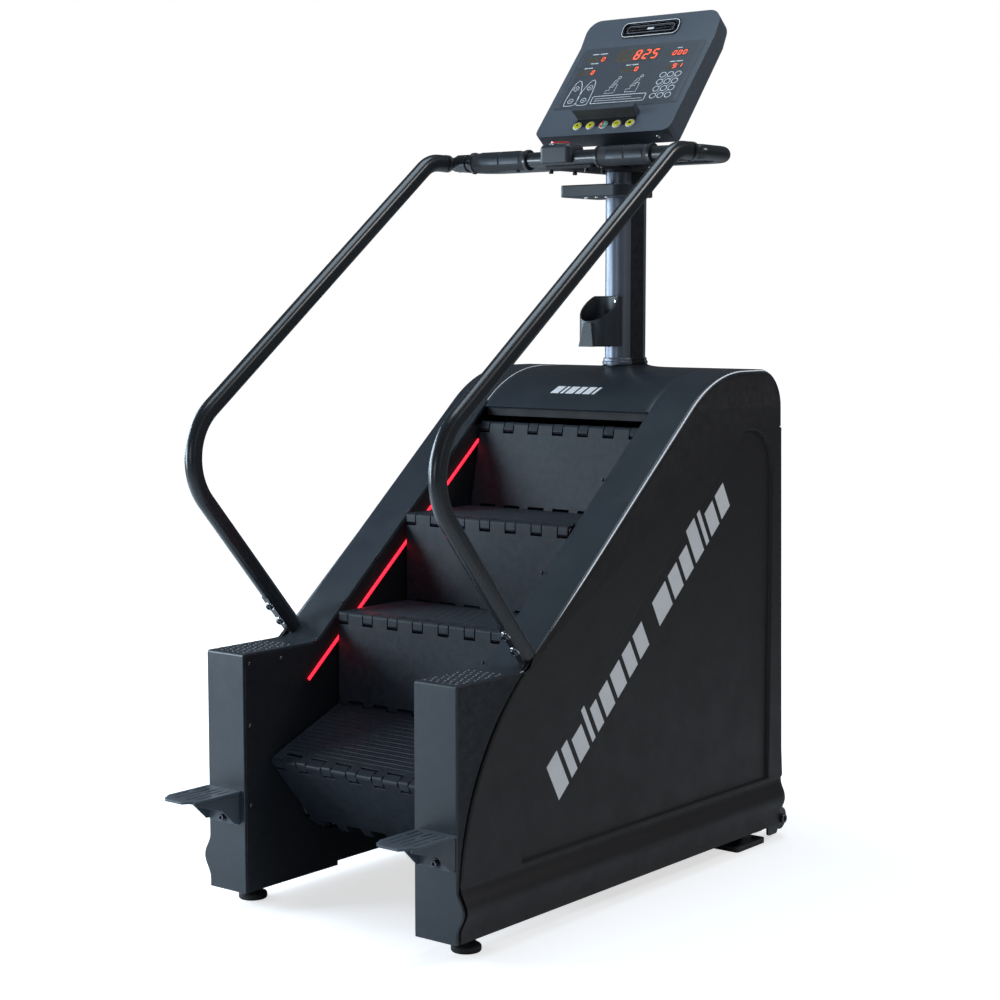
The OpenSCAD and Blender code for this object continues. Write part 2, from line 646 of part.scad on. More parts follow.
/* Feet, pedals and wheels */
foot_c = [300, 84];
module front_foot() difference() {
    union() {
        translate([foot_c[0], foot_c[1], 0]) cylinder(h = 14, r = 31);
        translate([foot_c[0], foot_c[1], 14]) cylinder(h = 8, r1 = 31, r2 = 20);
        translate([foot_c[0], foot_c[1], 22]) cylinder(h = 21.5, r = 8);
    }
    translate([foot_c[0], foot_c[1], -1]) cylinder(h = 3, r = 12);
}
module right_front_foot() color([0.06, 0.06, 0.06]) machine() front_foot();
module left_front_foot() color([0.06, 0.06, 0.06]) machine() mirror([1, 0, 0]) front_foot();
plate_w = 86;
plate_y = [1051, 1176];
module rear_foot_plates() color([0.07, 0.07, 0.07]) machine() both_sides() {
    difference() {
        translate([250, plate_y[0], 0])
            linear_extrude(13) round_rect([plate_w, plate_y[1] - plate_y[0]], 8);
        for (y = [plate_y[0] + 24, plate_y[1] - 24]) translate([250 + 66, y, -1]) cylinder(h = 20, r = 5.5);
    }
    translate([258, plate_y[0] + 10, 12.9]) cube([40, 70, 31]);
}
pedal_z = 260;
pedal_x = [248, 346];
module foot_pedals() color([0.09, 0.10, 0.11]) machine() both_sides() {
    difference() {
        translate([0, 0, pedal_z - 5]) linear_extrude(5) polygon([
            [pedal_x[0], -0.2], [pedal_x[1], -0.2], [pedal_x[1], -118],
            [pedal_x[1] - 24, pedal_tip_y], [pedal_x[0] + 24, pedal_tip_y], [pedal_x[0], -118]]);
        for (i = [0:4]) translate([pedal_x[0] + 14 + i * 17, i % 2 == 0 ? -112 : -124, pedal_z - 1.5])
            linear_extrude(3) square([4, i % 2 == 0 ? 44 : 100]);
        for (i = [0, 2, 4]) translate([pedal_x[0] + 14 + i * 17, -54, pedal_z - 1.5])
            linear_extrude(3) square([4, 36]);
    }
    difference() {
        box([pedal_x[0] + 6, -5, 186], [pedal_x[1] - 6, -0.2, pedal_z - 1]);
        rod_y([297, 198], -20, 20, 5.3);
    }
    for (x = [pedal_x[0] + 4, pedal_x[1] - 8]) slab(x, x + 4)
        polygon([[-0.2, 190], [-14, 190], [-52, 226], [-130, pedal_z - 9],
            [-130, pedal_z - 2], [-0.2, pedal_z - 2]]);
}
module wheel() difference() {
    rod_x(303, 331, wheel_axis, wheel_r);
    rod_x(300, 340, wheel_axis, 8 + run_clear);
}
module right_wheel() color([0.05, 0.05, 0.05]) machine() wheel();
module left_wheel() color([0.05, 0.05, 0.05]) machine() mirror([1, 0, 0]) wheel();

/* Fasteners: handrail screws, pedal bolts, wheel axles and wall screws */
module socket_bolt(r, h, head_r, head_h) {
    difference() {
        cylinder(h = head_h, r = head_r);
        translate([0, 0, head_h - 3]) cylinder(h = 4, r = head_r * 0.5, $fn = 6);
    }
    if (h > 0) translate([0, 0, -h]) cylinder(h = h + 0.1, r = r);
}
wall_screws = [[17, 533], [112, 532], [222, 557], [310, 632], [421, 723], [532, 815], [640, 905],
    [17, 400], [17, 228], [196, 175]];
// Distance of the two handrail screws up the leg from its foot line.
rail_screws = [62, 109];
module fasteners() color([0.72, 0.73, 0.75]) machine() both_sides() {
    for (up = rail_screws) rail_frame() {
        seat = leg_start - up * [cos(leg_a), sin(leg_a)] + screw_seat * [sin(leg_a), -cos(leg_a)];
        translate([0, seat[0], seat[1]]) rotate([180 + leg_a, 0, 0]) socket_bolt(0, 0, 8, 7);
    }
    translate([297, -5.2, 198]) rotate([90, 0, 0]) socket_bolt(5, 5, 8.5, 9);
    for (w = wall_screws) translate([-half_well + plate_t + 0.1, w[0], w[1]])
        rotate([0, 90, 0]) cylinder(h = 2, r = 4, $fn = 24);
    rod_x(291, 341, wheel_axis, 8);
    rod_x(339.2, 352, wheel_axis, 11);
}

/* Drive */
pulley_x = [282, 306];
chain_x = 240;
chain_half = 9;
pulley_r = 118;
motor_axis = [1064, 190];
shaft_end = shaft_plate_x + 26;
motor_pulley_r = 34;
motor_r = 72;
module teeth_disc(r, t) {
    // A chain sprocket: a disc with a round gap for each roller.
    difference() {
        circle(r + 5);
        for (i = [0:sprocket_teeth - 1]) rotate((i + 0.5) * 360 / sprocket_teeth)
            translate([r, 0]) circle(7.2, $fn = 24);
    }
}
module shaft_with_sprockets(a, ends) {
    rod_x(-ends, ends, a, shaft_r);
    both_sides() {
        slab(-chain_x - 3, -chain_x + 3) translate(a) teeth_disc(sprocket_r);
        rod_x(-chain_x + 2.9, -chain_x + 24, a, 34);
    }
}
module drive_shaft() color([0.45, 0.46, 0.48]) machine() {
    shaft_with_sprockets(upper_axis, shaft_end);
    rod_x(shaft_end - 0.1, pulley_x[1] + 4, upper_axis, shaft_r);
    rod_x(pulley_x[0], pulley_x[1], upper_axis, pulley_r);
    rod_x(pulley_x[0] - 3, pulley_x[0] + 0.1, upper_axis, pulley_r + 5);
}
module idler_shaft() color([0.45, 0.46, 0.48]) machine() shaft_with_sprockets(lower_axis, shaft_end);
module motor_pulley() color([0.40, 0.41, 0.43]) machine() difference() {
    union() {
        rod_x(pulley_x[0], pulley_x[1], motor_axis, motor_pulley_r);
        rod_x(pulley_x[0] - 3, pulley_x[0] + 0.1, motor_axis, motor_pulley_r + 5);
    }
    rod_x(pulley_x[0] - 10, pulley_x[1] + 10, motor_axis, 9 + run_clear);
}
module drive_motor() color([0.30, 0.31, 0.33]) machine() {
    rod_x(20, 240, motor_axis, motor_r);
    for (i = [0:7]) rod_x(36 + i * 24, 42 + i * 24, motor_axis, motor_r + 4);
    rod_x(239.9, 256, motor_axis, 50);
    rod_x(255.9, pulley_x[1] + 6, motor_axis, 9);
    box([40, 1000.5, 87.2], [220, 1130, 124]);
}
belt_gap = 0.4;
module belt_shape(extra) {
    hull() {
        translate(motor_axis) circle(motor_pulley_r + extra, $fn = 64);
        translate(upper_axis) circle(pulley_r + extra, $fn = 96);
    }
}
module drive_belt() color([0.04, 0.04, 0.04]) machine() slab(pulley_x[0] + 2, pulley_x[1] - 2) difference() {
    belt_shape(belt_gap + 4);
    belt_shape(belt_gap);
}
module control_box() color([0.20, 0.22, 0.22]) machine() {
    difference() {
        box([-230, 1010, 87.2], [-60, 1140, 250]);
        box([-227, 1013, 90], [-63, 1137, 247]);
    }
    for (i = [0:8]) box([-60.1, 1022 + i * 12, 100], [-50, 1025 + i * 12, 240]);
    box([150.5, 1206, 110.5], [199.5, 1226, 139.5]);
}

/* Steps. Each panel is drawn between its two hinge lines: the first at the origin, the second along X. */
tabs = 13;
tab_w = step_w / tabs;
knuckle_r = face_to_rod;
root = knuckle_r + 3;
back_face = face_to_rod - panel_t;
rib_pitch = 14;
module panel(len, first, ribbed) {
    // first says whether the tabs at the two ends take the odd or the even places.
    difference() {
        union() {
            slab(-step_w / 2, step_w / 2) translate([root, back_face]) square([len - 2 * root, panel_t]);
            for (e = [0, 1]) for (i = [0:tabs - 1]) if (i % 2 == (e == 0 ? first : 1 - first))
                translate([-step_w / 2 + i * tab_w, 0, 0]) {
                    slab(0.75, tab_w - 0.75) union() {
                        translate([e * len, 0]) circle(knuckle_r);
                        translate([e == 0 ? 0 : len - root - 1, back_face]) square([root + 1, panel_t]);
                    }
                }
            if (ribbed) for (x = [root + 12:rib_pitch:len - root - 14])
                slab(-step_w / 2 + 14, step_w / 2 - 14) translate([x, face_to_rod - 0.1]) square([5, 1.6]);
        }
        for (x = [0, len]) rod_x(-step_w, step_w, [x, 0], rod_r + run_clear);
    }
}
module at_line(p, a) { translate([0, p[0], p[1]]) rotate([a, 0, 0]) children(); }
step_grey = [0.15, 0.17, 0.20];
module tread_panel(nose, a) color(step_grey) at_line(nose, a) panel(tread_depth, 0, true);
module riser_panel(hinge, a) color(step_grey) at_line(hinge, a) panel(step_rise, 0, false);
module riser_1() machine() riser_panel(hinge_1, 90);
module tread_2() machine() tread_panel(nose_1, 0);
module riser_2() machine() riser_panel(hinge_2, 90);
module tread_3() machine() tread_panel(nose_2, 0);
module top_riser() machine() { riser_panel(hinge_3, top_riser_angle); nose_rod(nose_3); }
module top_tread() machine() tread_panel(nose_3, top_tread_angle);
module bottom_tread() machine() { tread_panel(nose_0, bottom_tread_angle); nose_rod(nose_0); }
module bottom_riser() machine() {
    riser_panel(nose_0 - step_rise * [cos(bottom_riser_angle), sin(bottom_riser_angle)], bottom_riser_angle);
}
rod_grey = [0.5, 0.5, 0.52];
// Rods at the noses stop at the panel ends; rods on the chain line reach through both chains.
module nose_rod(p) color(rod_grey) rod_x(-step_w / 2, step_w / 2, p, rod_r);
module chain_rod(p) color(rod_grey) rod_x(-chain_x - chain_half, chain_x + chain_half, p, rod_r);
module flight_rods() machine() {
    for (p = [nose_1, nose_2]) nose_rod(p);
    for (p = [hinge_1, hinge_2, hinge_3]) chain_rod(p);
}
// The same pieces turned half round about the middle of the loop hang below on the way back.
module half_turn() {
    translate([0, loop_middle[0], loop_middle[1]]) rotate([180, 0, 0])
        translate([0, -loop_middle[0], -loop_middle[1]]) children();
}
module return_steps() machine() half_turn() {
    for (p = [nose_1, nose_2]) {
        tread_panel(p, 0);
        nose_rod(p);
    }
    for (p = [hinge_1, hinge_2]) {
        riser_panel(p, 90);
        chain_rod(p);
    }
    chain_rod(hinge_3);
}
link_half = 9;
pin_r = 3;
module link_plate(i) {
    slab(0, 2) difference() {
        union() {
            circle(link_half, $fn = 24);
            translate([chain_pitch, 0]) circle(link_half, $fn = 24);
            translate([0, -6]) square([chain_pitch, 12]);
        }
        // Every eighth joint is a hinge rod of the steps.
        for (e = [0, 1]) translate([e * chain_pitch, 0])
            circle(run_clear + ((i + e) % links_per_step == 0 ? rod_r : pin_r), $fn = 24);
    }
}
module chain_run(p, n) {
    // n chain links uphill from p: a pair of plates to each link, inner and outer pairs in turn.
    for (i = [0:n - 1]) {
        c = p + i * chain_pitch * uphill;
        x = i % 2 == 0 ? 4 : 6.2;
        for (s = [-1, 1]) translate([s > 0 ? x : -x - 2, c[0], c[1]]) rotate([slope, 0, 0]) link_plate(i);
    }
    for (i = [0:n]) if (i % links_per_step != 0) {
        rod_x(-chain_half, chain_half, p + i * chain_pitch * uphill, pin_r);
        rod_x(-3.9, 3.9, p + i * chain_pitch * uphill, 6);
    }
}
module step_chains() color([0.35, 0.35, 0.36]) for (s = [-1, 1])
    translate([s * chain_x, 0, 0]) chain_run(hinge_1, 2 * links_per_step);
module flight_chains() machine() step_chains();
module return_chains() machine() half_turn() step_chains();

// ---- drawing ----
main_frame();
left_trim();
right_trim();
left_side_cover();
right_side_cover();
left_inner_wall();
right_inner_wall();
top_cover();
rear_cover();
led_strips();
column();
column_collar();
bottle_holder();
accessory_shelf();
handlebar_loop();
left_handrail();
right_handrail();
handrail_sleeves();
hand_grips();
pulse_sensors();
stop_switch_box();
console_neck();
console_housing();
console_panel();
display_windows();
fan_grille();
console_board();
foot_pedals();
rear_foot_plates();
bearing_blocks();
drive_motor();
drive_belt();
control_box();
fasteners();
riser_1();
tread_2();
riser_2();
tread_3();
flight_rods();
flight_chains();
top_riser();
top_tread();
bottom_tread();
bottom_riser();
return_steps();
return_chains();
drive_shaft();
idler_shaft();
motor_pulley();
stop_button();
button_1();
button_2();
button_3();
button_4();
button_5();
fan_rotor();
left_wheel();
right_wheel();
left_front_foot();
right_front_foot();
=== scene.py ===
"""Stair climber: the detailed look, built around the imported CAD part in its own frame.

Lengths are machine millimetres unless a name says otherwise: X across, Y back from the plane of the post
fronts, Z up from the floor. place() turns them into metres in the CAD frame.
"""

import json
import math

import bmesh
import bpy
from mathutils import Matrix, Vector, geometry

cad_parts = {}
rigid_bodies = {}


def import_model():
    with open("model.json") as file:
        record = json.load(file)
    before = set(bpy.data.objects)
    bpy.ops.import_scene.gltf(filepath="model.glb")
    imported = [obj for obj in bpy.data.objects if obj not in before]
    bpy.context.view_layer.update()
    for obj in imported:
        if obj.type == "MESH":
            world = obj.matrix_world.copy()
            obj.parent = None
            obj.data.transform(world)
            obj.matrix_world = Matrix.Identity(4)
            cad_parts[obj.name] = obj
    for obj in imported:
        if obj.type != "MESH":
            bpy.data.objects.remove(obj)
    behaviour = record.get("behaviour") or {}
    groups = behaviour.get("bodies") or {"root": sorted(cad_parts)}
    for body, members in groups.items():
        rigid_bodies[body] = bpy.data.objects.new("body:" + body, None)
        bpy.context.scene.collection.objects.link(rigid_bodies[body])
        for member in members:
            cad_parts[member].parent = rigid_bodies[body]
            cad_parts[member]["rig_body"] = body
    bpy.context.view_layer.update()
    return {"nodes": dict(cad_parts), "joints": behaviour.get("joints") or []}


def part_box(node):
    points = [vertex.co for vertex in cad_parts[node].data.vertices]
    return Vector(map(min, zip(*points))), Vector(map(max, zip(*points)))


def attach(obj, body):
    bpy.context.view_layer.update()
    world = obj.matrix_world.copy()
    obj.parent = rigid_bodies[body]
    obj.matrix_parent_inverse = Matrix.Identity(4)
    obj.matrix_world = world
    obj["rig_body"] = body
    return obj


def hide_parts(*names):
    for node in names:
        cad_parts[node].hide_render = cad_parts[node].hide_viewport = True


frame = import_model()

MM = 0.001
JOINTS = {j["name"]: j for j in frame["joints"]}
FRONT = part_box("right_trim")[0].y


def place(p):
    return Vector((p[0] * MM, FRONT + p[1] * MM, p[2] * MM))


def box_mm(node):
    low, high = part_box(node)
    return [Vector((v.x / MM, (v.y - FRONT) / MM, v.z / MM)) for v in (low, high)]


def joint_mm(name):
    """Y and Z of a joint."""
    p = JOINTS[name]["pos_m"]
    return (p[1] - FRONT) / MM, p[2] / MM


def cosd(angle):
    return math.cos(math.radians(angle))


def sind(angle):
    return math.sin(math.radians(angle))


def unit(angle):
    return Vector((cosd(angle), sind(angle)))


# ---------------------------------------------------------------- materials
def set_inputs(node, values):
    for name, value in values.items():
        node.inputs[name].default_value = value


def noise(tree, coord, scale, detail, rough):
    n = tree.nodes.new("ShaderNodeTexNoise")
    set_inputs(n, {"Scale": scale, "Detail": detail, "Roughness": rough})
    tree.links.new(coord.outputs["Object"], n.inputs["Vector"])
    return n.outputs["Fac"]


def ranged(tree, source, low, high, to_low, to_high):
    n = tree.nodes.new("ShaderNodeMapRange")
    set_inputs(n, {"From Min": low, "From Max": high, "To Min": to_low, "To Max": to_high})
    tree.links.new(source, n.inputs["Value"])
    return n.outputs["Result"]


def mixed(tree, factor, a, b):
    """Colours or colour sockets a and b, mixed by a factor socket."""
    n = tree.nodes.new("ShaderNodeMix")
    n.data_type = "RGBA"
    for socket, value in ((n.inputs[0], factor), (n.inputs[6], a), (n.inputs[7], b)):
        if isinstance(value, bpy.types.NodeSocket):
            tree.links.new(value, socket)
        else:
            socket.default_value = (*value, 1.0)
    return n.outputs[2]


def multiplied(tree, a, b):
    n = tree.nodes.new("ShaderNodeMath")
    n.operation = "MULTIPLY"
    tree.links.new(a, n.inputs[0])
    tree.links.new(b, n.inputs[1])
    return n.outputs[0]


def finish(name, colour, rough, metallic=0.0, spread=0.16, grain=700.0, bump=0.12, wear=0.35,
           coat=0.0, glow=0.0, rough_spread=0.07, brushed=None, shine=0.5):
    """A procedural finish: drifting colour, grain, uneven roughness and worn edges."""
    m = bpy.data.materials.new(name)
    m.use_nodes = True
    tree = m.node_tree
    bsdf = tree.nodes["Principled BSDF"]
    coord = tree.nodes.new("ShaderNodeTexCoord")
    dark = [c * (1 - spread) for c in colour]
    light = [min(1.0, c * (1 + spread)) for c in colour]
    base = mixed(tree, ranged(tree, noise(tree, coord, 4.0, 4.0, 0.6), 0.3, 0.7, 0.0, 1.0), dark, light)
    speck = noise(tree, coord, grain, 2.0, 0.6)
    base = mixed(tree, ranged(tree, speck, 0.35, 0.75, 0.0, 0.35), base,
                 [min(1.0, c * 1.5 + 0.004) for c in colour])
    if wear > 0:
        shape = tree.nodes.new("ShaderNodeNewGeometry")
        edge = ranged(tree, shape.outputs["Pointiness"], 0.52, 0.62, 0.0, 1.0)
        patch = ranged(tree, noise(tree, coord, 60.0, 5.0, 0.7), 0.35, 0.65, 0.0, wear)
        base = mixed(tree, multiplied(tree, edge, patch), base, [min(1.0, c * 2.2 + 0.05) for c in colour])
    tree.links.new(base, bsdf.inputs["Base Color"])
    smudge = ranged(tree, noise(tree, coord, 14.0, 6.0, 0.65), 0.3, 0.7, max(0.02, rough - rough_spread),
                    min(1.0, rough + rough_spread))
    tree.links.new(smudge, bsdf.inputs["Roughness"])
    set_inputs(bsdf, {"Metallic": metallic, "Specular IOR Level": shine, "Coat Weight": coat,
                      "Coat Roughness": 0.25})
    height = speck
    if brushed:
        stretch = tree.nodes.new("ShaderNodeMapping")
        stretch.inputs["Scale"].default_value = brushed
        tree.links.new(coord.outputs["Object"], stretch.inputs["Vector"])
        lines = tree.nodes.new("ShaderNodeTexNoise")
        lines.inputs["Scale"].default_value = 400.0
        tree.links.new(stretch.outputs["Vector"], lines.inputs["Vector"])
        height = lines.outputs["Fac"]
    relief = tree.nodes.new("ShaderNodeBump")
    set_inputs(relief, {"Strength": bump, "Distance": 0.0006})
    tree.links.new(height, relief.inputs["Height"])
    tree.links.new(relief.outputs["Normal"], bsdf.inputs["Normal"])
    if glow:
        tree.links.new(base, bsdf.inputs["Emission Color"])
        bsdf.inputs["Emission Strength"].default_value = glow
    return m


TRIM = finish("trim_paint", (0.021, 0.027, 0.035), 0.36, grain=1100, bump=0.05, coat=0.15)
SHELL = finish("side_plastic", (0.0150, 0.0128, 0.0128), 0.5, grain=900, bump=0.10, spread=0.1)
# A light paint with a faint glow, the painted highlight along bevel edges.
PAINTED_HIGHLIGHT = finish("painted_highlight_paint", (0.90, 0.93, 0.97), 0.3, grain=900, bump=0.02, wear=0, spread=0.04, glow=0.22)
# Near black, painted shadow in gaps and behind openings.
GAP = finish("shadow_gap", (0.004, 0.004, 0.005), 0.7, wear=0)
STEP = finish("step_plastic", (0.0105, 0.0140, 0.0205), 0.48, grain=520, bump=0.2, wear=0.4, spread=0.08,
              rough_spread=0.03, shine=0.26)
WALL = finish("wall_paint", (0.0085, 0.0095, 0.0125), 0.46, grain=800, bump=0.08)
TUBE = finish("tube_paint", (0.018, 0.0215, 0.0245), 0.27, grain=1300, bump=0.005, wear=0, coat=0.3,
              spread=0.06, rough_spread=0.01)
POST = finish("column_paint", (0.17, 0.19, 0.23), 0.36, metallic=0.5, grain=1300, bump=0.005, wear=0,
              coat=0.15, spread=0.05, rough_spread=0.01)
# A darker copy of the dark paints, painted shade for faces turned away from the light.
SHADED_FACE = finish("painted_shade_paint", (0.009, 0.0105, 0.0135), 0.4, shine=0.25, grain=1300, bump=0.04, spread=0.08)
STEEL = finish("frame_paint", (0.03, 0.031, 0.034), 0.42, bump=0.08)
PEDAL = finish("pedal_paint", (0.070, 0.083, 0.100), 0.4, grain=800, bump=0.1, wear=0.5)
BARE = finish("bare_steel", (0.55, 0.56, 0.58), 0.3, metallic=1.0, wear=0, brushed=(1.0, 14.0, 14.0))
CHROME = finish("chrome", (0.78, 0.79, 0.81), 0.14, metallic=1.0, bump=0.02, wear=0, spread=0.05)
DARK_METAL = finish("dark_screw", (0.12, 0.125, 0.14), 0.3, metallic=1.0, bump=0.03, wear=0, spread=0.08)
FOAM = finish("grip_foam", (0.018, 0.019, 0.022), 0.62, grain=420, bump=0.35, wear=0.2)
RUBBER = finish("rubber", (0.016, 0.016, 0.017), 0.7, grain=500, bump=0.3, wear=0.25)
CASE = finish("console_plastic", (0.080, 0.094, 0.114), 0.44, grain=650, bump=0.14, spread=0.08)
CUP = finish("cup_plastic", (0.022, 0.027, 0.034), 0.42, grain=650, bump=0.16, spread=0.1)
FILM = finish("console_film", (0.058, 0.067, 0.081), 0.36, grain=900, bump=0.05, wear=0.1, coat=0.15,
              spread=0.06)
BLACK = finish("gloss_black", (0.006, 0.006, 0.008), 0.22, grain=900, bump=0.03, wear=0.2, coat=0.3)
WINDOW = finish("display_glass", (0.095, 0.085, 0.068), 0.2, bump=0.02, wear=0, coat=0.5)
LIT = finish("display_lit", (1.0, 0.07, 0.035), 0.4, bump=0.02, wear=0, glow=2.6)
DIM = finish("display_dim", (0.085, 0.075, 0.055), 0.35, bump=0.02, wear=0)
LED = finish("led_lens", (1.0, 0.012, 0.03), 0.3, bump=0.04, wear=0, glow=3.2)
WHITE = finish("print_white", (0.72, 0.73, 0.74), 0.45, grain=500, bump=0.05, wear=0, spread=0.05)
# Grey print with a faint glow, painted light that keeps it bright.
GLOWING_PRINT = finish("print_grey_glow", (0.78, 0.79, 0.81), 0.5, grain=300, bump=0.08, wear=0, spread=0.06, glow=0.08)
SENSOR = finish("sensor_steel", (0.045, 0.05, 0.058), 0.4, metallic=0.6, bump=0.05, wear=0,
                brushed=(14.0, 1.0, 1.0))
INK = finish("button_ink", (0.02, 0.02, 0.02), 0.5, bump=0.05, wear=0)
# Light grey for printed dots, also the painted highlight on the post-top studs.
PRINT_AND_STUD_SHEEN = finish("print_and_stud_highlight", (0.16, 0.17, 0.19), 0.45, wear=0)
YELLOW = finish("button_yellow", (0.83, 0.72, 0.02), 0.35, bump=0.04, wear=0.2)
RED = finish("button_red", (0.72, 0.03, 0.03), 0.35, bump=0.04, wear=0.2)
GREEN = finish("button_green", (0.03, 0.42, 0.20), 0.35, bump=0.04, wear=0.2)
STOP = finish("stop_red", (0.78, 0.03, 0.03), 0.3, bump=0.04, wear=0.2, coat=0.3)
BOARD = finish("board_green", (0.02, 0.16, 0.06), 0.5, bump=0.2, wear=0)
MOTOR = finish("cast_grey", (0.11, 0.115, 0.12), 0.45, metallic=0.4, grain=260, bump=0.4)

# Finish, bevel and slot of the CAD nodes that keep their own shape.
PLAIN = {
    "main_frame": (STEEL, 1.2, "frame_steel"), "rear_cover": (SHELL, 1.0, "side_shell"),
    "bearing_blocks": (MOTOR, 0.8, "motor_grey"), "drive_motor": (MOTOR, 0.8, "motor_grey"),
    "drive_belt": (RUBBER, 0.5, "rubber_black"), "control_box": (MOTOR, 0.8, "motor_grey"),
    "flight_rods": (BARE, 0.4, "bare_steel"), "return_steps": (STEP, 0.6, "step_plastic"),
    "drive_shaft": (BARE, 0.5, "bare_steel"), "idler_shaft": (BARE, 0.5, "bare_steel"),
    "motor_pulley": (BARE, 0.5, "bare_steel"), "console_board": (BOARD, 0.2, "board_green"),
    "fan_rotor": (BLACK, 0.2, "console_shell"), "console_neck": (CUP, 2.0, "console_shell"),
    "rear_foot_plates": (STEEL, 1.2, "frame_steel"), "foot_pedals": (PEDAL, 1.3, "tube_black"),
    "handrail_sleeves": (TUBE, 1.0, "tube_black"),
}
AS_PACKED = {"flight_chains": (BARE, "bare_steel"), "return_chains": (BARE, "bare_steel")}

# ---------------------------------------------------------------- mesh tools
SHARP = 34.0


def baked(obj):
    """Replaces an object's mesh by the one that its modifiers make."""
    bpy.context.view_layer.update()
    graph = bpy.context.evaluated_depsgraph_get()
    made = bpy.data.meshes.new_from_object(obj.evaluated_get(graph), depsgraph=graph)
    obj.modifiers.clear()
    obj.data = made
    return obj


def rounded_finish(obj, bevel, segments=2, weighted=False, sharp=SHARP):
    """Bevels the hard edges, shades by angle and bakes the result into the mesh."""
    if bevel > 0:
        m = obj.modifiers.new("bevel", "BEVEL")
        m.width = bevel * MM
        m.segments = segments
        m.limit_method = "WEIGHT" if weighted else "ANGLE"
        m.angle_limit = math.radians(sharp)
        m.use_clamp_overlap = True
    for p in obj.data.polygons:
        p.use_smooth = True
    w = obj.modifiers.new("normals", "WEIGHTED_NORMAL")
    w.keep_sharp = True
    return baked(obj)


def link(name, mesh, materials):
    obj = bpy.data.objects.new(name, mesh)
    bpy.context.scene.collection.objects.link(obj)
    for m in materials:
        mesh.materials.append(m)
    return obj


def mark_sharp(bm, limit):
    for e in bm.edges:
        e.smooth = len(e.link_faces) == 2 and e.calc_face_angle(0) < math.radians(limit)


def into_mesh(bm, name):
    mesh = bpy.data.meshes.new(name)
    bm.to_mesh(mesh)
    bm.free()
    return mesh


class Kit:
    """Collects shells in machine millimetres and builds one piece from them."""

    def __init__(self):
        self.verts, self.faces, self.index, self.materials = [], [], [], []
        self.weights = []

    def add(self, shell, material, weights=()):
        verts, faces = shell
        base = len(self.verts)
        self.verts += [tuple(v) for v in verts]
        self.faces += [[base + i for i in f] for f in faces]
        if material not in self.materials:
            self.materials.append(material)
        self.index += [self.materials.index(material)] * len(faces)
        self.weights += [(base + a, base + b, w) for a, b, w in weights]
        return self

    def build(self, name, slot, node=None, body="machine", bevel=0.0, segments=2, mirror=False, sharp=SHARP,
              smooth=SHARP):
        bm = bmesh.new()
        flip = -1 if mirror else 1
        made = [bm.verts.new(place((flip * v[0], v[1], v[2]))) for v in self.verts]
        for f, k in zip(self.faces, self.index):
            try:
                face = bm.faces.new([made[i] for i in f])
            except ValueError:
                continue
            face.material_index = k
        if self.weights:
            layer = bm.edges.layers.float.new("bevel_weight_edge")
            for a, b, w in self.weights:
                edge = bm.edges.get((made[a], made[b]))
                if edge:
                    edge[layer] = w
        bmesh.ops.recalc_face_normals(bm, faces=bm.faces)
        mark_sharp(bm, smooth)
        obj = link(name, into_mesh(bm, name), self.materials)
        rounded_finish(obj, bevel, segments, bool(self.weights), sharp)
        obj.data.name = name
        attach(obj, body)
        if node:
            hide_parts(node)
        return obj


def band(n, a, b):
    """Faces between two matching loops of n points that start at vertices a and b."""
    return [[a + i, a + (i + 1) % n, b + (i + 1) % n, b + i] for i in range(n)]


def stack(loops):
    """A solid through matching loops of points, closed at both ends."""
    n = len(loops[0])
    faces = [list(range(n)), [(len(loops) - 1) * n + i for i in range(n)]]
    for k in range(len(loops) - 1):
        faces += band(n, k * n, (k + 1) * n)
    return [p for loop in loops for p in loop], faces


def prism(outline, low, high, axis="x", hole=None):
    """An outline pushed along an axis. Outline points are (Y, Z) for axis x and (X, Y) for axis z."""
    put = (lambda u, v, w: (w, u, v)) if axis == "x" else (lambda u, v, w: (u, v, w))
    loops = [outline] + ([hole] if hole else [])
    verts, faces, starts = [], [], []
    for loop in loops:
        starts.append(len(verts))
        verts += [put(u, v, low) for u, v in loop] + [put(u, v, high) for u, v in loop]
        faces += band(len(loop), starts[-1], starts[-1] + len(loop))
    if not hole:
        n = len(outline)
        return verts, faces + [list(range(n)), [n + i for i in range(n)]]
    flat = [[Vector((u, v, 0)) for u, v in loop] for loop in loops]
    where = [(s + i, len(loop)) for loop, s in zip(loops, starts) for i in range(len(loop))]
    for corners in geometry.tessellate_polygon(flat):
        faces.append([where[k][0] for k in corners])
        faces.append([sum(where[k]) for k in corners])
    return verts, faces


def moved(shell, change):
    verts, faces = shell
    return [change(Vector(v)) for v in verts], faces


def lathe(profile, centre, axis, count=40):
    """Turns (radius, height) points about an axis through centre."""
    centre = Vector(centre)
    axis = Vector(axis).normalized()
    side = axis.orthogonal().normalized()
    other = axis.cross(side)
    verts, faces, rows = [], [], []
    for r, h in profile:
        if r < 1e-6:
            rows.append([len(verts)])
            verts.append(centre + axis * h)
            continue
        rows.append(list(range(len(verts), len(verts) + count)))
        for i in range(count):
            a = 2 * math.pi * i / count
            verts.append(centre + axis * h + side * (r * math.cos(a)) + other * (r * math.sin(a)))
    for a, b in zip(rows, rows[1:]):
        if len(a) > 1 and len(b) > 1:
            faces += band(count, a[0], b[0])
        elif len(b) > 1:
            faces += [[a[0], b[i], b[(i + 1) % count]] for i in range(count)]
        elif len(a) > 1:
            faces += [[a[i], a[(i + 1) % count], b[0]] for i in range(count)]
    return verts, faces


def drill(centre, axis, r, half, count):
    """A plain round tool for cutting, from -half to half along its axis."""
    return lathe([(0, -half), (r, -half), (r, half), (0, half)], centre, axis, count)


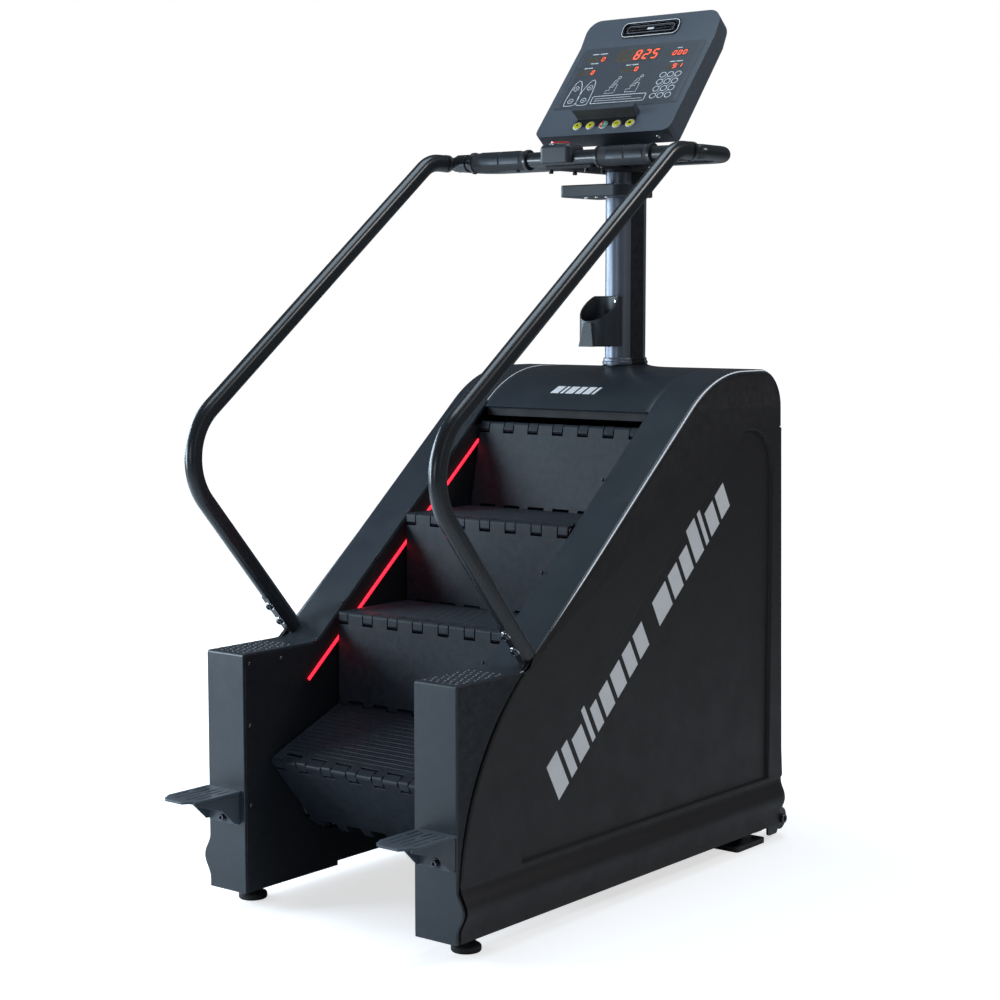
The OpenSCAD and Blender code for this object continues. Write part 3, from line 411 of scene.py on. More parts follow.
def sweep(points, section, side=None, closed=False):
    """Carries a section of (side, normal) points, or a function of the step that gives one, along a path."""
    pts = [Vector(p) for p in points]
    n = len(pts)
    verts, faces = [], []
    normal = None
    for i, p in enumerate(pts):
        if closed:
            t = (pts[(i + 1) % n] - pts[i - 1]).normalized()
        else:
            t = (pts[min(i + 1, n - 1)] - pts[max(i - 1, 0)]).normalized()
        if side is not None:
            s = Vector(side)
            up = t.cross(s).normalized() * -1
        else:
            if normal is None:
                normal = t.orthogonal().normalized()
            normal = (normal - t * normal.dot(t)).normalized()
            s, up = normal, t.cross(normal)
        shape = section(i) if callable(section) else section
        count = len(shape)
        verts += [p + s * a + up * b for a, b in shape]
    for i in range(n if closed else n - 1):
        faces += band(count, i * count, ((i + 1) % n) * count)
    if not closed:
        faces += [list(range(count)), [(n - 1) * count + k for k in range(count)]]
    return verts, faces


def circle(r, count=28):
    turns = [2 * math.pi * i / count for i in range(count)]
    return [(r * math.cos(a), r * math.sin(a)) for a in turns]


def shifted(points, dx, dy):
    return [(x + dx, y + dy) for x, y in points]


def oval(wide, deep, count=32):
    """A flat oval, wide across and deep along, with half-round ends."""
    r = wide / 2
    half = count // 2
    out = []
    for s in (1, -1):
        for i in range(half + 1):
            a = math.pi * i / half + (0 if s > 0 else math.pi)
            out.append((r * math.cos(a), s * (deep / 2 - r) + r * math.sin(a)))
    return out


def arc(centre, r, a0, a1, n):
    angles = [a0 + (a1 - a0) * i / n for i in range(n + 1)]
    return [(centre[0] + r * cosd(a), centre[1] + r * sind(a)) for a in angles]


def rounded_rect(x0, y0, x1, y1, r, n=6):
    left, right, low, high = x0 + r, x1 - r, y0 + r, y1 - r
    out = []
    for centre, a in (((right, high), 0), ((left, high), 90), ((left, low), 180), ((right, low), 270)):
        out += arc(centre, r, a, a + 90, n)
    return out


def offset_path(path, d):
    """Moves an open path to its left by d."""
    out = []
    for i, p in enumerate(path):
        a, b = path[max(i - 1, 0)], path[min(i + 1, len(path) - 1)]
        t = Vector((b[0] - a[0], b[1] - a[1])).normalized()
        out.append((p[0] - t.y * d, p[1] + t.x * d))
    return out


def softened(node, bevel, material):
    """A CAD node's own shape with its edges rounded."""
    source = frame["nodes"][node]
    bm = bmesh.new()
    bm.from_mesh(source.data)
    bmesh.ops.remove_doubles(bm, verts=bm.verts, dist=2e-6)
    bmesh.ops.dissolve_limit(bm, angle_limit=math.radians(0.6), verts=bm.verts, edges=bm.edges)
    bmesh.ops.recalc_face_normals(bm, faces=bm.faces)
    for f in bm.faces:
        f.material_index = 0
    mark_sharp(bm, SHARP)
    obj = link(node + "_shape", into_mesh(bm, node + "_shape"), [material])
    rounded_finish(obj, bevel)
    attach(obj, source["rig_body"])
    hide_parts(node)


def solid(shell):
    """A throwaway closed mesh for cutting with."""
    verts, faces = shell
    bm = bmesh.new()
    made = [bm.verts.new(place(v)) for v in verts]
    for f in faces:
        bm.faces.new([made[i] for i in f])
    bmesh.ops.recalc_face_normals(bm, faces=bm.faces)
    return link("cutter", into_mesh(bm, "cutter"), [])


def carve(first, *steps):
    """Runs boolean steps of (operation, shell) on a shell and hands back a shell in machine millimetres."""
    base = solid(first)
    tools = []
    for operation, shell in steps:
        tools.append(solid(shell))
        m = base.modifiers.new("cut", "BOOLEAN")
        m.operation = operation
        m.object = tools[-1]
        m.solver = "EXACT"
    baked(base)
    bm = bmesh.new()
    bm.from_mesh(base.data)
    bmesh.ops.remove_doubles(bm, verts=bm.verts, dist=1e-6)
    bmesh.ops.dissolve_limit(bm, angle_limit=math.radians(0.5), verts=bm.verts, edges=bm.edges)
    verts = [(v.co.x / MM, (v.co.y - FRONT) / MM, v.co.z / MM) for v in bm.verts]
    bm.verts.index_update()
    faces = [[v.index for v in f.verts] for f in bm.faces]
    bm.free()
    for obj in [base] + tools:
        bpy.data.objects.remove(obj)
    return verts, faces


# ---------------------------------------------------------------- body outline
well_box = box_mm("right_trim")
HALF_WELL, SKIRT_Z, CREST_Z = well_box[0].x, well_box[0].z, well_box[1].z
BULGE = 17.0
HALF_BODY = well_box[1].x - BULGE
WALL_FACE = box_mm("right_inner_wall")[0].x
COWL_FRONT = box_mm("top_cover")[0].y
POST_TOP = 554.0
SLOPE = 40.0
RIM = (251.0, 577.0)
TOE_R, CREST_R, REAR_R = 60.0, 330.0, 92.0
REAR_TOP_Y, REAR_FOOT = 1210.0, (1236.0, 150.0)
SKIRT_LOW, SKIRT_TOP = 56.0, 152.0
TRIM_END_Z = 1000.0
# The curved edge between the post and the side cover.
JOINT_C, JOINT_R, JOINT_FROM, JOINT_SPAN = (607.0, 98.6), 596.4, 183.0, 56.0
RECESS_D = 9.0

tan_slope = math.tan(math.radians(SLOPE))
tan_half = math.tan(math.radians(SLOPE / 2))
toe_y = RIM[0] - (RIM[1] - POST_TOP) / tan_slope - TOE_R * tan_half
crest_y = RIM[0] + (CREST_Z - RIM[1]) / tan_slope + CREST_R * tan_half
toe_arc = arc((toe_y, POST_TOP + TOE_R), TOE_R, 270, 270 + SLOPE, 12)
crest_arc = arc((crest_y, CREST_Z - CREST_R), CREST_R, 90 + SLOPE, 90, 26)
rear_arc = arc((REAR_TOP_Y - REAR_R, CREST_Z - REAR_R), REAR_R, 90, 0, 16)
slope_rear = (REAR_FOOT[0] - REAR_TOP_Y) / (CREST_Z - REAR_R - REAR_FOOT[1])
rear_end = (REAR_TOP_Y + (CREST_Z - REAR_R - TRIM_END_Z) * slope_rear, TRIM_END_Z)
top_line = toe_arc + crest_arc + rear_arc + [rear_end]


def bulge(z):
    if not SKIRT_LOW < z < SKIRT_TOP:
        return 0.0
    return BULGE * (1 - math.cos(2 * math.pi * (z - SKIRT_LOW) / (SKIRT_TOP - SKIRT_LOW))) / 2


def skirt_levels(count):
    return [SKIRT_Z] + [SKIRT_LOW + (SKIRT_TOP - SKIRT_LOW) * i / count for i in range(count + 1)]


# ---------------------------------------------------------------- trims, side covers, walls
def trim_path():
    front = [(0.0, float(z)) for z in skirt_levels(24) + [260, 400, POST_TOP - 5]]
    corner = arc((5.0, POST_TOP - 5), 5.0, 180, 90, 5)[1:]
    return front + corner + top_line


def trim_section(path):
    """The trim's section at each step of its path, with an outer edge that grows rounder up the slope."""
    def at(i):
        y, z = path[i]
        xo = HALF_BODY + (bulge(z) if y < 1 else 0.0)
        r = 3.0 if z < POST_TOP + 1 else 3.0 + 6.0 * min(1.0, max(0.0, (y - 130.0) / 60.0))
        out = [(HALF_WELL, -8.0), (HALF_WELL, -1.2), (HALF_WELL + 1.2, 0.0)]
        out += [(xo - r + r * sind(a), -r + r * cosd(a)) for a in (0, 18, 36, 54, 72, 90)]
        out += [(xo, -r - 1.2), (xo - 3, -r - 1.2), (xo - 3, -r + 1), (xo - r - 5, -5), (HALF_WELL + 4, -5),
                (HALF_WELL + 4, -8)]
        return out
    return at


def joint_line(r, swell=0.0):
    """The curved edge between post and side cover; swell widens it towards its middle."""
    out = []
    steps = 28
    for i in range(steps + 1):
        a = JOINT_FROM - JOINT_SPAN * i / steps
        reach = r + swell * math.sin(math.pi * i / steps)
        out.append((JOINT_C[0] + reach * cosd(a), JOINT_C[1] + reach * sind(a)))
    return out


def build_side(side, mirror):
    path = trim_path()
    kit = Kit()
    kit.add(sweep([(0, y, z) for y, z in path], trim_section(path), side=(1, 0, 0)), TRIM)
    # Painted highlight: the middle of the rounded outer edge from the post top upwards, and the inner chamfer
    # behind the cowl front, get a light, faintly glowing paint.
    kit.materials.append(PAINTED_HIGHLIGHT)
    count = len(trim_section(path)(0))
    for i, p in enumerate(path[:-1]):
        if p[1] > POST_TOP - 6 and p[0] > 30:
            kit.index[i * count + 5] = 1
        if p[0] > COWL_FRONT:
            kit.index[i * count + 1] = 1
    # Outer face of the post, up to the groove beside the side cover, in the darker paint that stands for
    # painted shade.
    under = [p for p in offset_path(top_line, -4.6) if p[0] < 236]
    face = joint_line(JOINT_R + 2.0, 8.0) + under[::-1] + [(4.6, POST_TOP - 4.6), (4.6, 90.0)]
    kit.add(prism(face, HALF_BODY - 6, HALF_BODY - 0.3), SHADED_FACE)
    # A near-black flange behind the groove, painted shadow that keeps the groove dark.
    flange = joint_line(JOINT_R - 10) + joint_line(JOINT_R + 4.0, 9.0)[::-1]
    kit.add(prism(flange, HALF_BODY - 12, HALF_BODY - 8), GAP)
    foot_close = [(4.0, SKIRT_Z), (15.0, SKIRT_Z), (15.0, 96.0), (4.0, 96.0)]
    kit.add(prism(foot_close, HALF_BODY - 7, HALF_BODY - 4.4), TRIM)
    # Raised grip dots on the post top, light grey as a painted highlight on their tips.
    for row in range(9):
        for col in range(6):
            c = (HALF_WELL + 14 + col * 16 + (row % 2) * 6, 18 + row * 17, POST_TOP - 0.4)
            kit.add(lathe([(0, 2.0), (1.6, 1.8), (2.6, 1.2), (3.1, 0.0)], c, (0, 0, 1), 10), PRINT_AND_STUD_SHEEN)
    kit.build(side + "_trim_shell", "black_trim", side + "_trim", mirror=mirror)
    build_cover(side, mirror)
    build_skirt(side, mirror)


def recess_loop():
    """Outline of the sunken field, with its large corner at the upper rear."""
    rear, r = 1174.0, 98.0
    front = [(330.0, 388.0), (262.0, 308.0), (230.0, 262.0), (214.0, 212.0)]
    return [(208.0, 158.0), (rear, 158.0)] + arc((rear - r, 900.0), r, 0, 112, 18) + front


def build_cover(side, mirror):
    front = [(13.0, SKIRT_TOP)] + [p for p in joint_line(JOINT_R - 1.0) if p[1] > SKIRT_TOP + 4]
    top = [p for p in offset_path(top_line, -10.8) if p[0] > front[-1][0] + 6]
    rear = [(top[-1][0], TRIM_END_Z - 3), (rear_end[0], TRIM_END_Z - 3), (REAR_FOOT[0], SKIRT_TOP)]
    outer = front + top[:-1] + rear
    hole = recess_loop()
    n, h = len(outer), len(hole)
    deep, back = HALF_BODY - RECESS_D, HALF_BODY - RECESS_D - 4
    centre = Vector((sum(p[0] for p in hole) / h, sum(p[1] for p in hole) / h))
    floor = [Vector(p) - (Vector(p) - centre).normalized() * 4.0 for p in hole]
    verts = [(HALF_BODY, y, z) for y, z in outer + hole]
    verts += [(deep, y, z) for y, z in floor] + [(back, y, z) for y, z in outer]
    flat = [[Vector((*p, 0)) for p in loop] for loop in (outer, hole)]
    last = n + 2 * h
    faces = [list(t) for t in geometry.tessellate_polygon(flat)]
    faces += band(h, n, n + h) + [[n + h + i for i in range(h)]]
    faces += band(n, 0, last) + [[last + i for i in range(n)]]
    weights = [(i, i + 1, 1.0) for i in range(len(front) - 1)] + [(n - 2, n - 1, 1.0)]
    weights += [(n + i, n + (i + 1) % h, 0.3) for i in range(h)]
    kit = Kit().add((verts, faces), SHELL, weights)
    kit.build(side + "_cover_panel", "side_shell", side + "_side_cover", bevel=5.0, segments=4, mirror=mirror)


def build_skirt(side, mirror):
    section = [(HALF_BODY + bulge(z), z) for z in skirt_levels(30)]
    section += [(HALF_BODY - 4, SKIRT_TOP), (HALF_BODY - 4, SKIRT_Z)]
    loops = []
    for y in [13.5] + [200.0 * i for i in range(1, 6)] + [1206 + 6 * i for i in range(6)]:
        # The rear end is drawn in as a quarter round.
        t = max(0.0, (y - 1212.0) / 24.0)
        turn = 1 - math.sqrt(max(0.0, 1 - t * t))
        drawn = [turn * (4.0 + 0.6 * bulge(z)) if x > HALF_BODY - 3 else 0 for x, z in section]
        loops.append([(x - d, y, z) for (x, z), d in zip(section, drawn)])
    Kit().add(stack(loops), SHELL).build(side + "_skirt", "side_shell", mirror=mirror)


# ---------------------------------------------------------------- top cover
def cowl_z(y):
    return CREST_Z - CREST_R + math.sqrt(CREST_R ** 2 - max(0.0, crest_y - y) ** 2)


def build_top_cover():
    """The cowl between the two trims, drawn up in a flare around the foot of the column."""
    low, high = box_mm("column")
    foot_c = Vector(((low.x + high.x) / 2, (low.y + high.y) / 2))
    half_w, half_d = (high.x - low.x) / 2, (high.y - low.y) / 2
    y0, z0 = COWL_FRONT, cowl_z(COWL_FRONT)
    lip = [(y0 + 7, z0 - 6), (y0 + 2, z0 - 4.5), (y0, z0 - 2), (y0 + 2, z0 + 0.4)]
    level = [(crest_y + (REAR_TOP_Y - REAR_R - crest_y) * i / 24, CREST_Z) for i in range(1, 24)]
    path = lip + [p for p in crest_arc if p[0] > y0 + 6] + level + rear_arc + [rear_end]
    columns = 60
    half = HALF_WELL - 1.0
    verts, faces = [], []
    for i, p in enumerate(path):
        a, b = path[max(i - 1, 0)], path[min(i + 1, len(path) - 1)]
        t = Vector((b[0] - a[0], b[1] - a[1])).normalized()
        for k in range(columns + 1):
            x = -half + 2 * half * k / columns
            dy = max(0.0, abs(p[0] - foot_c.y) - (half_d - half_w))
            gap = max(0.0, math.hypot(x - foot_c.x, dy) - half_w)
            rise = 9.0 * math.exp(-gap / 13.0) if i >= len(lip) else 0.0
            edge = max(0.0, 1 - (half - abs(x)) / 3.0)
            lift = rise - 1.6 * edge * edge
            verts.append((x, p[0] - t.y * lift, p[1] + t.x * lift))
    w = columns + 1
    for i in range(len(path) - 1):
        faces += [[i * w + k, i * w + k + 1, (i + 1) * w + k + 1, (i + 1) * w + k] for k in range(columns)]
    cowl = Kit().add((verts, faces), TRIM).build("top_cowl", "black_trim", "top_cover", smooth=50)
    sheet = cowl.modifiers.new("sheet", "SOLIDIFY")
    sheet.thickness = 4 * MM
    sheet.offset = -1
    baked(cowl)
    # A near-black strip behind the lip, painted shadow, hides the shaft.
    shade = [(y0 + 9, z0 - 24), (y0 + 12, z0 - 24), (y0 + 12, z0 - 5), (y0 + 9, z0 - 5)]
    Kit().add(prism(shade, 4 - half, half - 4), GAP).build("cowl_baffle", "black_trim", bevel=0.4)


# ---------------------------------------------------------------- steps
STEP_W = box_mm("riser_1")[1].x * 2
RISE, DEPTH = 200.0, 230.0
ROD_FACE, PANEL_T = 12.0, 18.0
EVEN_TAB, TABS = 28.0, 13
ODD_TAB = (STEP_W - 7 * EVEN_TAB) / 6
BACK = ROD_FACE - PANEL_T
ROOT = ROD_FACE + 3.0
NOSE_R, BARREL_R = 7.0, 14.3
RIB_PITCH, RIB_H = 14, 1.5
TOP_TREAD_A, BOTTOM_RISER_A = -22.0, 129.5


def tab_span(i):
    start = -STEP_W / 2 + (i + 1) // 2 * EVEN_TAB + i // 2 * ODD_TAB
    return start, start + (EVEN_TAB if i % 2 == 0 else ODD_TAB)


def knuckle(length, end):
    """Outline of a hinge knuckle at one end of a panel: root, rounded nose, barrel, root."""
    c = end * length
    s = -1 if end else 1
    low = math.degrees(math.asin(ROD_FACE / BARREL_R))
    high = 90 - math.degrees(math.acos(-BACK / BARREL_R))
    nose = [(c - s * (ROD_FACE - NOSE_R + NOSE_R * sind(t)), ROD_FACE - NOSE_R + NOSE_R * cosd(t))
            for t in range(0, 91, 15)]
    turns = [low + (high - low) * k / 8 for k in range(9)]
    barrel = [(c - s * BARREL_R * sind(t), -BARREL_R * cosd(t)) for t in turns]
    far = c + s * (ROOT + 1.5)
    return [(far, ROD_FACE)] + nose + barrel + [(far, BACK)]


def panel_shells(length, ribbed):
    """Shells of one step panel: its slab, its hinge knuckles and, on a tread, its ribs."""
    out = [prism([(ROOT, BACK), (length - ROOT, BACK), (length - ROOT, ROD_FACE), (ROOT, ROD_FACE)],
                 -STEP_W / 2, STEP_W / 2)]
    for end in (0, 1):
        for i in range(end, TABS, 2):
            x0, x1 = tab_span(i)
            out.append(prism(knuckle(length, end), x0 + 0.9, x1 - 0.9))
    u = ROOT + 12
    while ribbed and u <= length - ROOT - 16:
        top = ROD_FACE + RIB_H
        rib = [(u, ROD_FACE - 0.3), (u + 1.4, top), (u + 4.8, top), (u + 6.2, ROD_FACE - 0.3)]
        out.append(prism(rib, -STEP_W / 2 + 14, STEP_W / 2 - 14))
        u += RIB_PITCH
    return out


def build_panel(node, body, pivot, angle, ribbed, rods=()):
    c, s = cosd(angle), sind(angle)

    def to_machine(v):
        return Vector((v.x, pivot[0] + v.y * c - v.z * s, pivot[1] + v.y * s + v.z * c))

    kit = Kit()
    for shell in panel_shells(DEPTH if ribbed else RISE, ribbed):
        kit.add(moved(shell, to_machine), STEP)
    for p in rods:
        kit.add(sweep([(-STEP_W / 2, *p), (STEP_W / 2, *p)], circle(6, 20)), BARE)
    kit.build(node + "_panel", "step_plastic", node, body, 1.1)


def heading(a, b):
    return math.degrees(math.atan2(b[1] - a[1], b[0] - a[0]))


def build_steps():
    hinge_3, nose_3 = joint_mm("top_riser_hinge"), joint_mm("top_tread_hinge")
    hinge_1, nose_0 = joint_mm("bottom_tread_hinge"), joint_mm("bottom_riser_hinge")
    hinge_2 = ((hinge_1[0] + hinge_3[0]) / 2, (hinge_1[1] + hinge_3[1]) / 2)
    nose_1, nose_2 = (hinge_1[0], hinge_1[1] + RISE), (hinge_2[0], hinge_2[1] + RISE)
    low_end = tuple(Vector(nose_0) - unit(BOTTOM_RISER_A) * RISE)
    build_panel("riser_1", "flight", hinge_1, 90, False)
    build_panel("riser_2", "flight", hinge_2, 90, False)
    build_panel("tread_2", "flight", nose_1, 0, True)
    build_panel("tread_3", "flight", nose_2, 0, True)
    build_panel("top_riser", "top_riser", hinge_3, heading(hinge_3, nose_3), False, [nose_3])
    build_panel("top_tread", "top_tread", nose_3, TOP_TREAD_A, True)
    build_panel("bottom_tread", "bottom_tread", nose_0, heading(nose_0, hinge_1), True, [nose_0])
    build_panel("bottom_riser", "bottom_riser", low_end, BOTTOM_RISER_A, False)


def build_plain():
    for node, (material, bevel, slot) in PLAIN.items():
        softened(node, bevel, material)
    for node, (material, slot) in AS_PACKED.items():
        obj = frame["nodes"][node]
        obj.data.materials.clear()
        obj.data.materials.append(material)


# ---------------------------------------------------------------- handrails and bar
bar_box = box_mm("handlebar_loop")
BAR_R = 17.5
BAR_Z = bar_box[1].z - BAR_R
BAR_X = bar_box[1].x - BAR_R
BAR_FRONT, BAR_REAR = bar_box[0].y + BAR_R, 973.0
RAIL_FOOT, ELBOW = Vector((262.0, 559.0)), Vector((-102.0, 981.0))
LEG_A, RISE_A = -49.2, 37.0
WIDE_R, TOP_R, SPLAY = 135.0, 90.0, 1.04
RAIL_W, RAIL_D = 30.0, 40.0
LEG_ACROSS = Vector((sind(LEG_A), -cosd(LEG_A)))
# Heads under the bar: X, Y and how far below the bar's middle.
BAR_BOLTS = ((48.6, 829, 24), (-52, 829, 24), (93.8, 829, 16.5), (-150, 829, 16.5), (278.7, 829, 16.5),
             (-278.7, 829, 16.5), (-40, 905, 24), (40, 905, 24))
GRIPS = ((-282.0, -112.0), (82.0, 234.0))


def rail_line():
    """The handrail's centre line in Y and Z, from its foot to the hand bar."""
    half_turn = math.radians(180 - (RISE_A - LEG_A)) / 2
    cut_a = WIDE_R * math.tan(half_turn)
    cut_b = TOP_R * math.tan(math.radians(RISE_A / 2))
    foot = ELBOW + unit(LEG_A) * ((RAIL_FOOT - ELBOW).length - 4)
    bend_in = ELBOW + unit(LEG_A) * cut_a
    centre = ELBOW + unit((LEG_A + RISE_A) / 2) * (WIDE_R / math.cos(half_turn))
    top = Vector((ELBOW.x + (BAR_Z - ELBOW.y) / math.tan(math.radians(RISE_A)), BAR_Z))
    start = ELBOW + unit(RISE_A) * cut_a
    end = top - unit(RISE_A) * cut_b
    out = [foot + (bend_in - foot) * i / 8 for i in range(8)]
    out += arc(centre, WIDE_R, 270 + LEG_A, 90 + RISE_A, 36)
    out += [start + (end - start) * i / 12 for i in range(1, 12)]
    out += arc((top.x + cut_b, BAR_Z - TOP_R), TOP_R, 90 + RISE_A, 90, 14)
    return out + [(BAR_FRONT - 40, BAR_Z), (BAR_FRONT - 20, BAR_Z)]


def splayed(v, mirror=False):
    """Leans a rail drawn at X = 0 outwards from the bar and moves it to its side."""
    dz = v.z - BAR_Z
    x = BAR_X + v.x * cosd(SPLAY) + dz * sind(SPLAY)
    return Vector((-x if mirror else x, v.y, BAR_Z - v.x * sind(SPLAY) + dz * cosd(SPLAY)))


def build_handrail(side, mirror):
    line = [(0.0, *p) for p in rail_line()]
    kit = Kit()
    kit.add(moved(sweep(line, oval(RAIL_W, RAIL_D, 36), side=(1, 0, 0)), splayed), TUBE)
    # A dark strap on the front of the leg, under the two socket screws.
    foot = Vector(line[0][1:])
    inward = unit(LEG_A + 180)
    top = RAIL_D / 2
    strap = [(-9.5, top - 7), (9.5, top - 7), (8.5, top + 0.2), (-8.5, top + 0.2)]
    ends = [foot + inward * 16, foot + inward * 132]
    kit.add(moved(stack([[(x, *(c + LEG_ACROSS * h)) for x, h in strap] for c in ends]), splayed), BLACK)
    # Plug that closes the foot against the slope.
    plug = sweep([(0, *(foot - inward * 4)), (0, *(foot + inward * 10))], oval(RAIL_W + 5, RAIL_D + 6, 36),
                 side=(1, 0, 0))
    kit.add(moved(plug, splayed), TUBE)
    kit.build(side + "_rail_tube", "tube_black", side + "_handrail", mirror=mirror)


def build_bar():
    r_front, r_rear = 24.0, 55.0
    x = BAR_X
    loop = arc((x - r_front, BAR_FRONT + r_front), r_front, -90, 0, 8)
    loop += arc((x - r_rear, BAR_REAR - r_rear), r_rear, 0, 90, 16)
    loop += arc((-x + r_rear, BAR_REAR - r_rear), r_rear, 90, 180, 16)
    loop += arc((-x + r_front, BAR_FRONT + r_front), r_front, 180, 270, 8)
    bar = sweep([(*p, BAR_Z) for p in loop], circle(BAR_R, 32), side=(0, 0, 1), closed=True)
    Kit().add(bar, TUBE).build("hand_bar", "tube_black", "handlebar_loop")
    # The strap under the bar takes the darker paint too, painted shade under the bar.
    strap = prism(rounded_rect(-70, BAR_FRONT - 6, 70, 1112, 8), BAR_Z - 24, BAR_Z - 16, "z")
    Kit().add(strap, SHADED_FACE).build("bar_strap", "tube_black", bevel=1.2)
    bolts = Kit()
    head = [(0, -9.5), (4.6, -9.5), (5.4, -8.6), (5.4, -4), (4.4, -3.4), (4.4, 1), (0, 1)]
    for bx, by, drop in BAR_BOLTS:
        bolts.add(lathe(head, (bx, by, BAR_Z - drop), (0, 0, 1), 20), BLACK)
    bolts.build("bar_bolts", "tube_black", bevel=0.3)


def sensor_plate(start, length):
    """A thin sheet wrapped round the grip, its ends cut on a slant."""
    rows = []
    for i in range(15):
        a = -20 + 220 * i / 14
        x = start + 16 * cosd(a) * 0.5
        rows.append([(u, BAR_FRONT - r * cosd(a), BAR_Z + r * sind(a))
                     for u, r in ((x, 22.0), (x, 23.3), (x + length, 23.3), (x + length, 22.0))])
    return stack(rows)


def build_grips():
    foam, rings, plates = Kit(), Kit(), Kit()
    c, along = (0, BAR_FRONT, BAR_Z), (1, 0, 0)
    for x0, x1 in GRIPS:
        foam.add(lathe([(17.4, x0 + 4), (20.5, x0 + 5), (22, x0 + 8), (22, x1 - 8), (20.5, x1 - 5),
                        (17.4, x1 - 4)], c, along), FOAM)
        for x in (x0, x1 - 9):
            rings.add(lathe([(17.6, x), (22.6, x), (24.2, x + 1.5), (24.2, x + 7.5), (22.6, x + 9),
                             (17.6, x + 9)], c, along), TUBE)
        for k in (0, 1):
            plates.add(sensor_plate(x0 + 26 + k * (x1 - x0 - 48) / 2, (x1 - x0 - 60) / 2), SENSOR)
    foam.build("grip_foam", "foam_black", "hand_grips")
    rings.build("grip_rings", "tube_black")
    plates.build("sensor_plates", "chrome", "pulse_sensors", bevel=0.25, smooth=50)


def build_switch():
    """The stop switch: a rounded box astride the bar, its well, its rim and the red cap."""
    low, high = box_mm("stop_switch_box")
    cap_low, cap_high = box_mm("stop_button")
    centre = ((cap_low.x + cap_high.x) / 2, (cap_low.y + cap_high.y) / 2)
    loops = []
    for d, z in ((1.5, low.z), (0, low.z + 2), (0, high.z - 10), (1.2, high.z - 6.5), (4.0, high.z - 2.6),
                 (8.0, high.z)):
        outline = rounded_rect(low.x + d, low.y + d, high.x - d, high.y - d, 12 - d * 0.6)
        loops.append([(x, y, z) for x, y in outline])
    well = prism(shifted(circle(24.2, 40), *centre), high.z - 10.3, high.z + 9, "z")
    guide = prism(shifted(circle(8.3, 24), *centre), BAR_Z, high.z, "z")
    tunnel = drill((0, BAR_FRONT, BAR_Z), (1, 0, 0), BAR_R + 0.3, 90, 48)
    box = carve(stack(loops), ("DIFFERENCE", well), ("DIFFERENCE", guide), ("DIFFERENCE", tunnel))
    Kit().add(box, CUP).build("switch_body", "console_shell", "stop_switch_box", bevel=0.5)
    rim = [(24.0, -6), (24.0, 1.0), (27, 1.2), (28, 0.2), (28, -3), (26, -6)]
    Kit().add(lathe(rim, (*centre, high.z), (0, 0, 1), 48), BLACK).build("switch_rim", "console_shell")
    cap = [(0, -13.6), (7.9, -13.6), (7.9, -9.4), (23, -9.4), (23, -1.6), (22.4, -0.5), (21, 0), (0, 0.6)]
    Kit().add(lathe(cap, (*centre, cap_high.z - 0.6), (0, 0, 1), 48), STOP).build(
        "stop_cap", "stop_red", "stop_button", "stop_button")


# ---------------------------------------------------------------- column, cup, shelf
col_low, col_high = box_mm("column")
COL_W, COL_D = col_high.x - col_low.x, col_high.y - col_low.y
COL_Y = (col_low.y + col_high.y) / 2


def build_column():
    outline, inner = (shifted(oval(COL_W - d, COL_D - d, 56), 0, COL_Y) for d in (0, 6))
    tube = Kit().add(prism(outline, col_low.z, col_high.z, "z", inner), POST).build(
        "column_tube", "tube_black", "column")
    low, high = box_mm("column_collar")
    path = [(x, y, low.z) for x, y in shifted(oval(COL_W + 2, COL_D + 2, 56), 0, COL_Y)]
    h = high.z - low.z
    section = [(0, 1.2), (0, -4.0), (1.5, -5.0), (6.5, -5.0), (7.5, -4.0), (8.5, -2.6), (h - 2.5, -2.6),
               (h - 1, -1.6), (h, -0.2), (h, 1.2)]
    ring = Kit().add(sweep(path, section, side=(0, 0, 1), closed=True), POST).build(
        "collar_ring", "tube_black", "column_collar")
    # Painted shade: the flat flanks get a darker paint than the rounded front and back.
    flat = (COL_D - COL_W) / 2 * MM
    for obj in (tube, ring):
        obj.data.materials.append(SHADED_FACE)
        for face in obj.data.polygons:
            if abs(place((0, COL_Y, 0)).y - face.center.y) < flat and abs(face.normal.x) > 0.3:
                face.material_index = 1


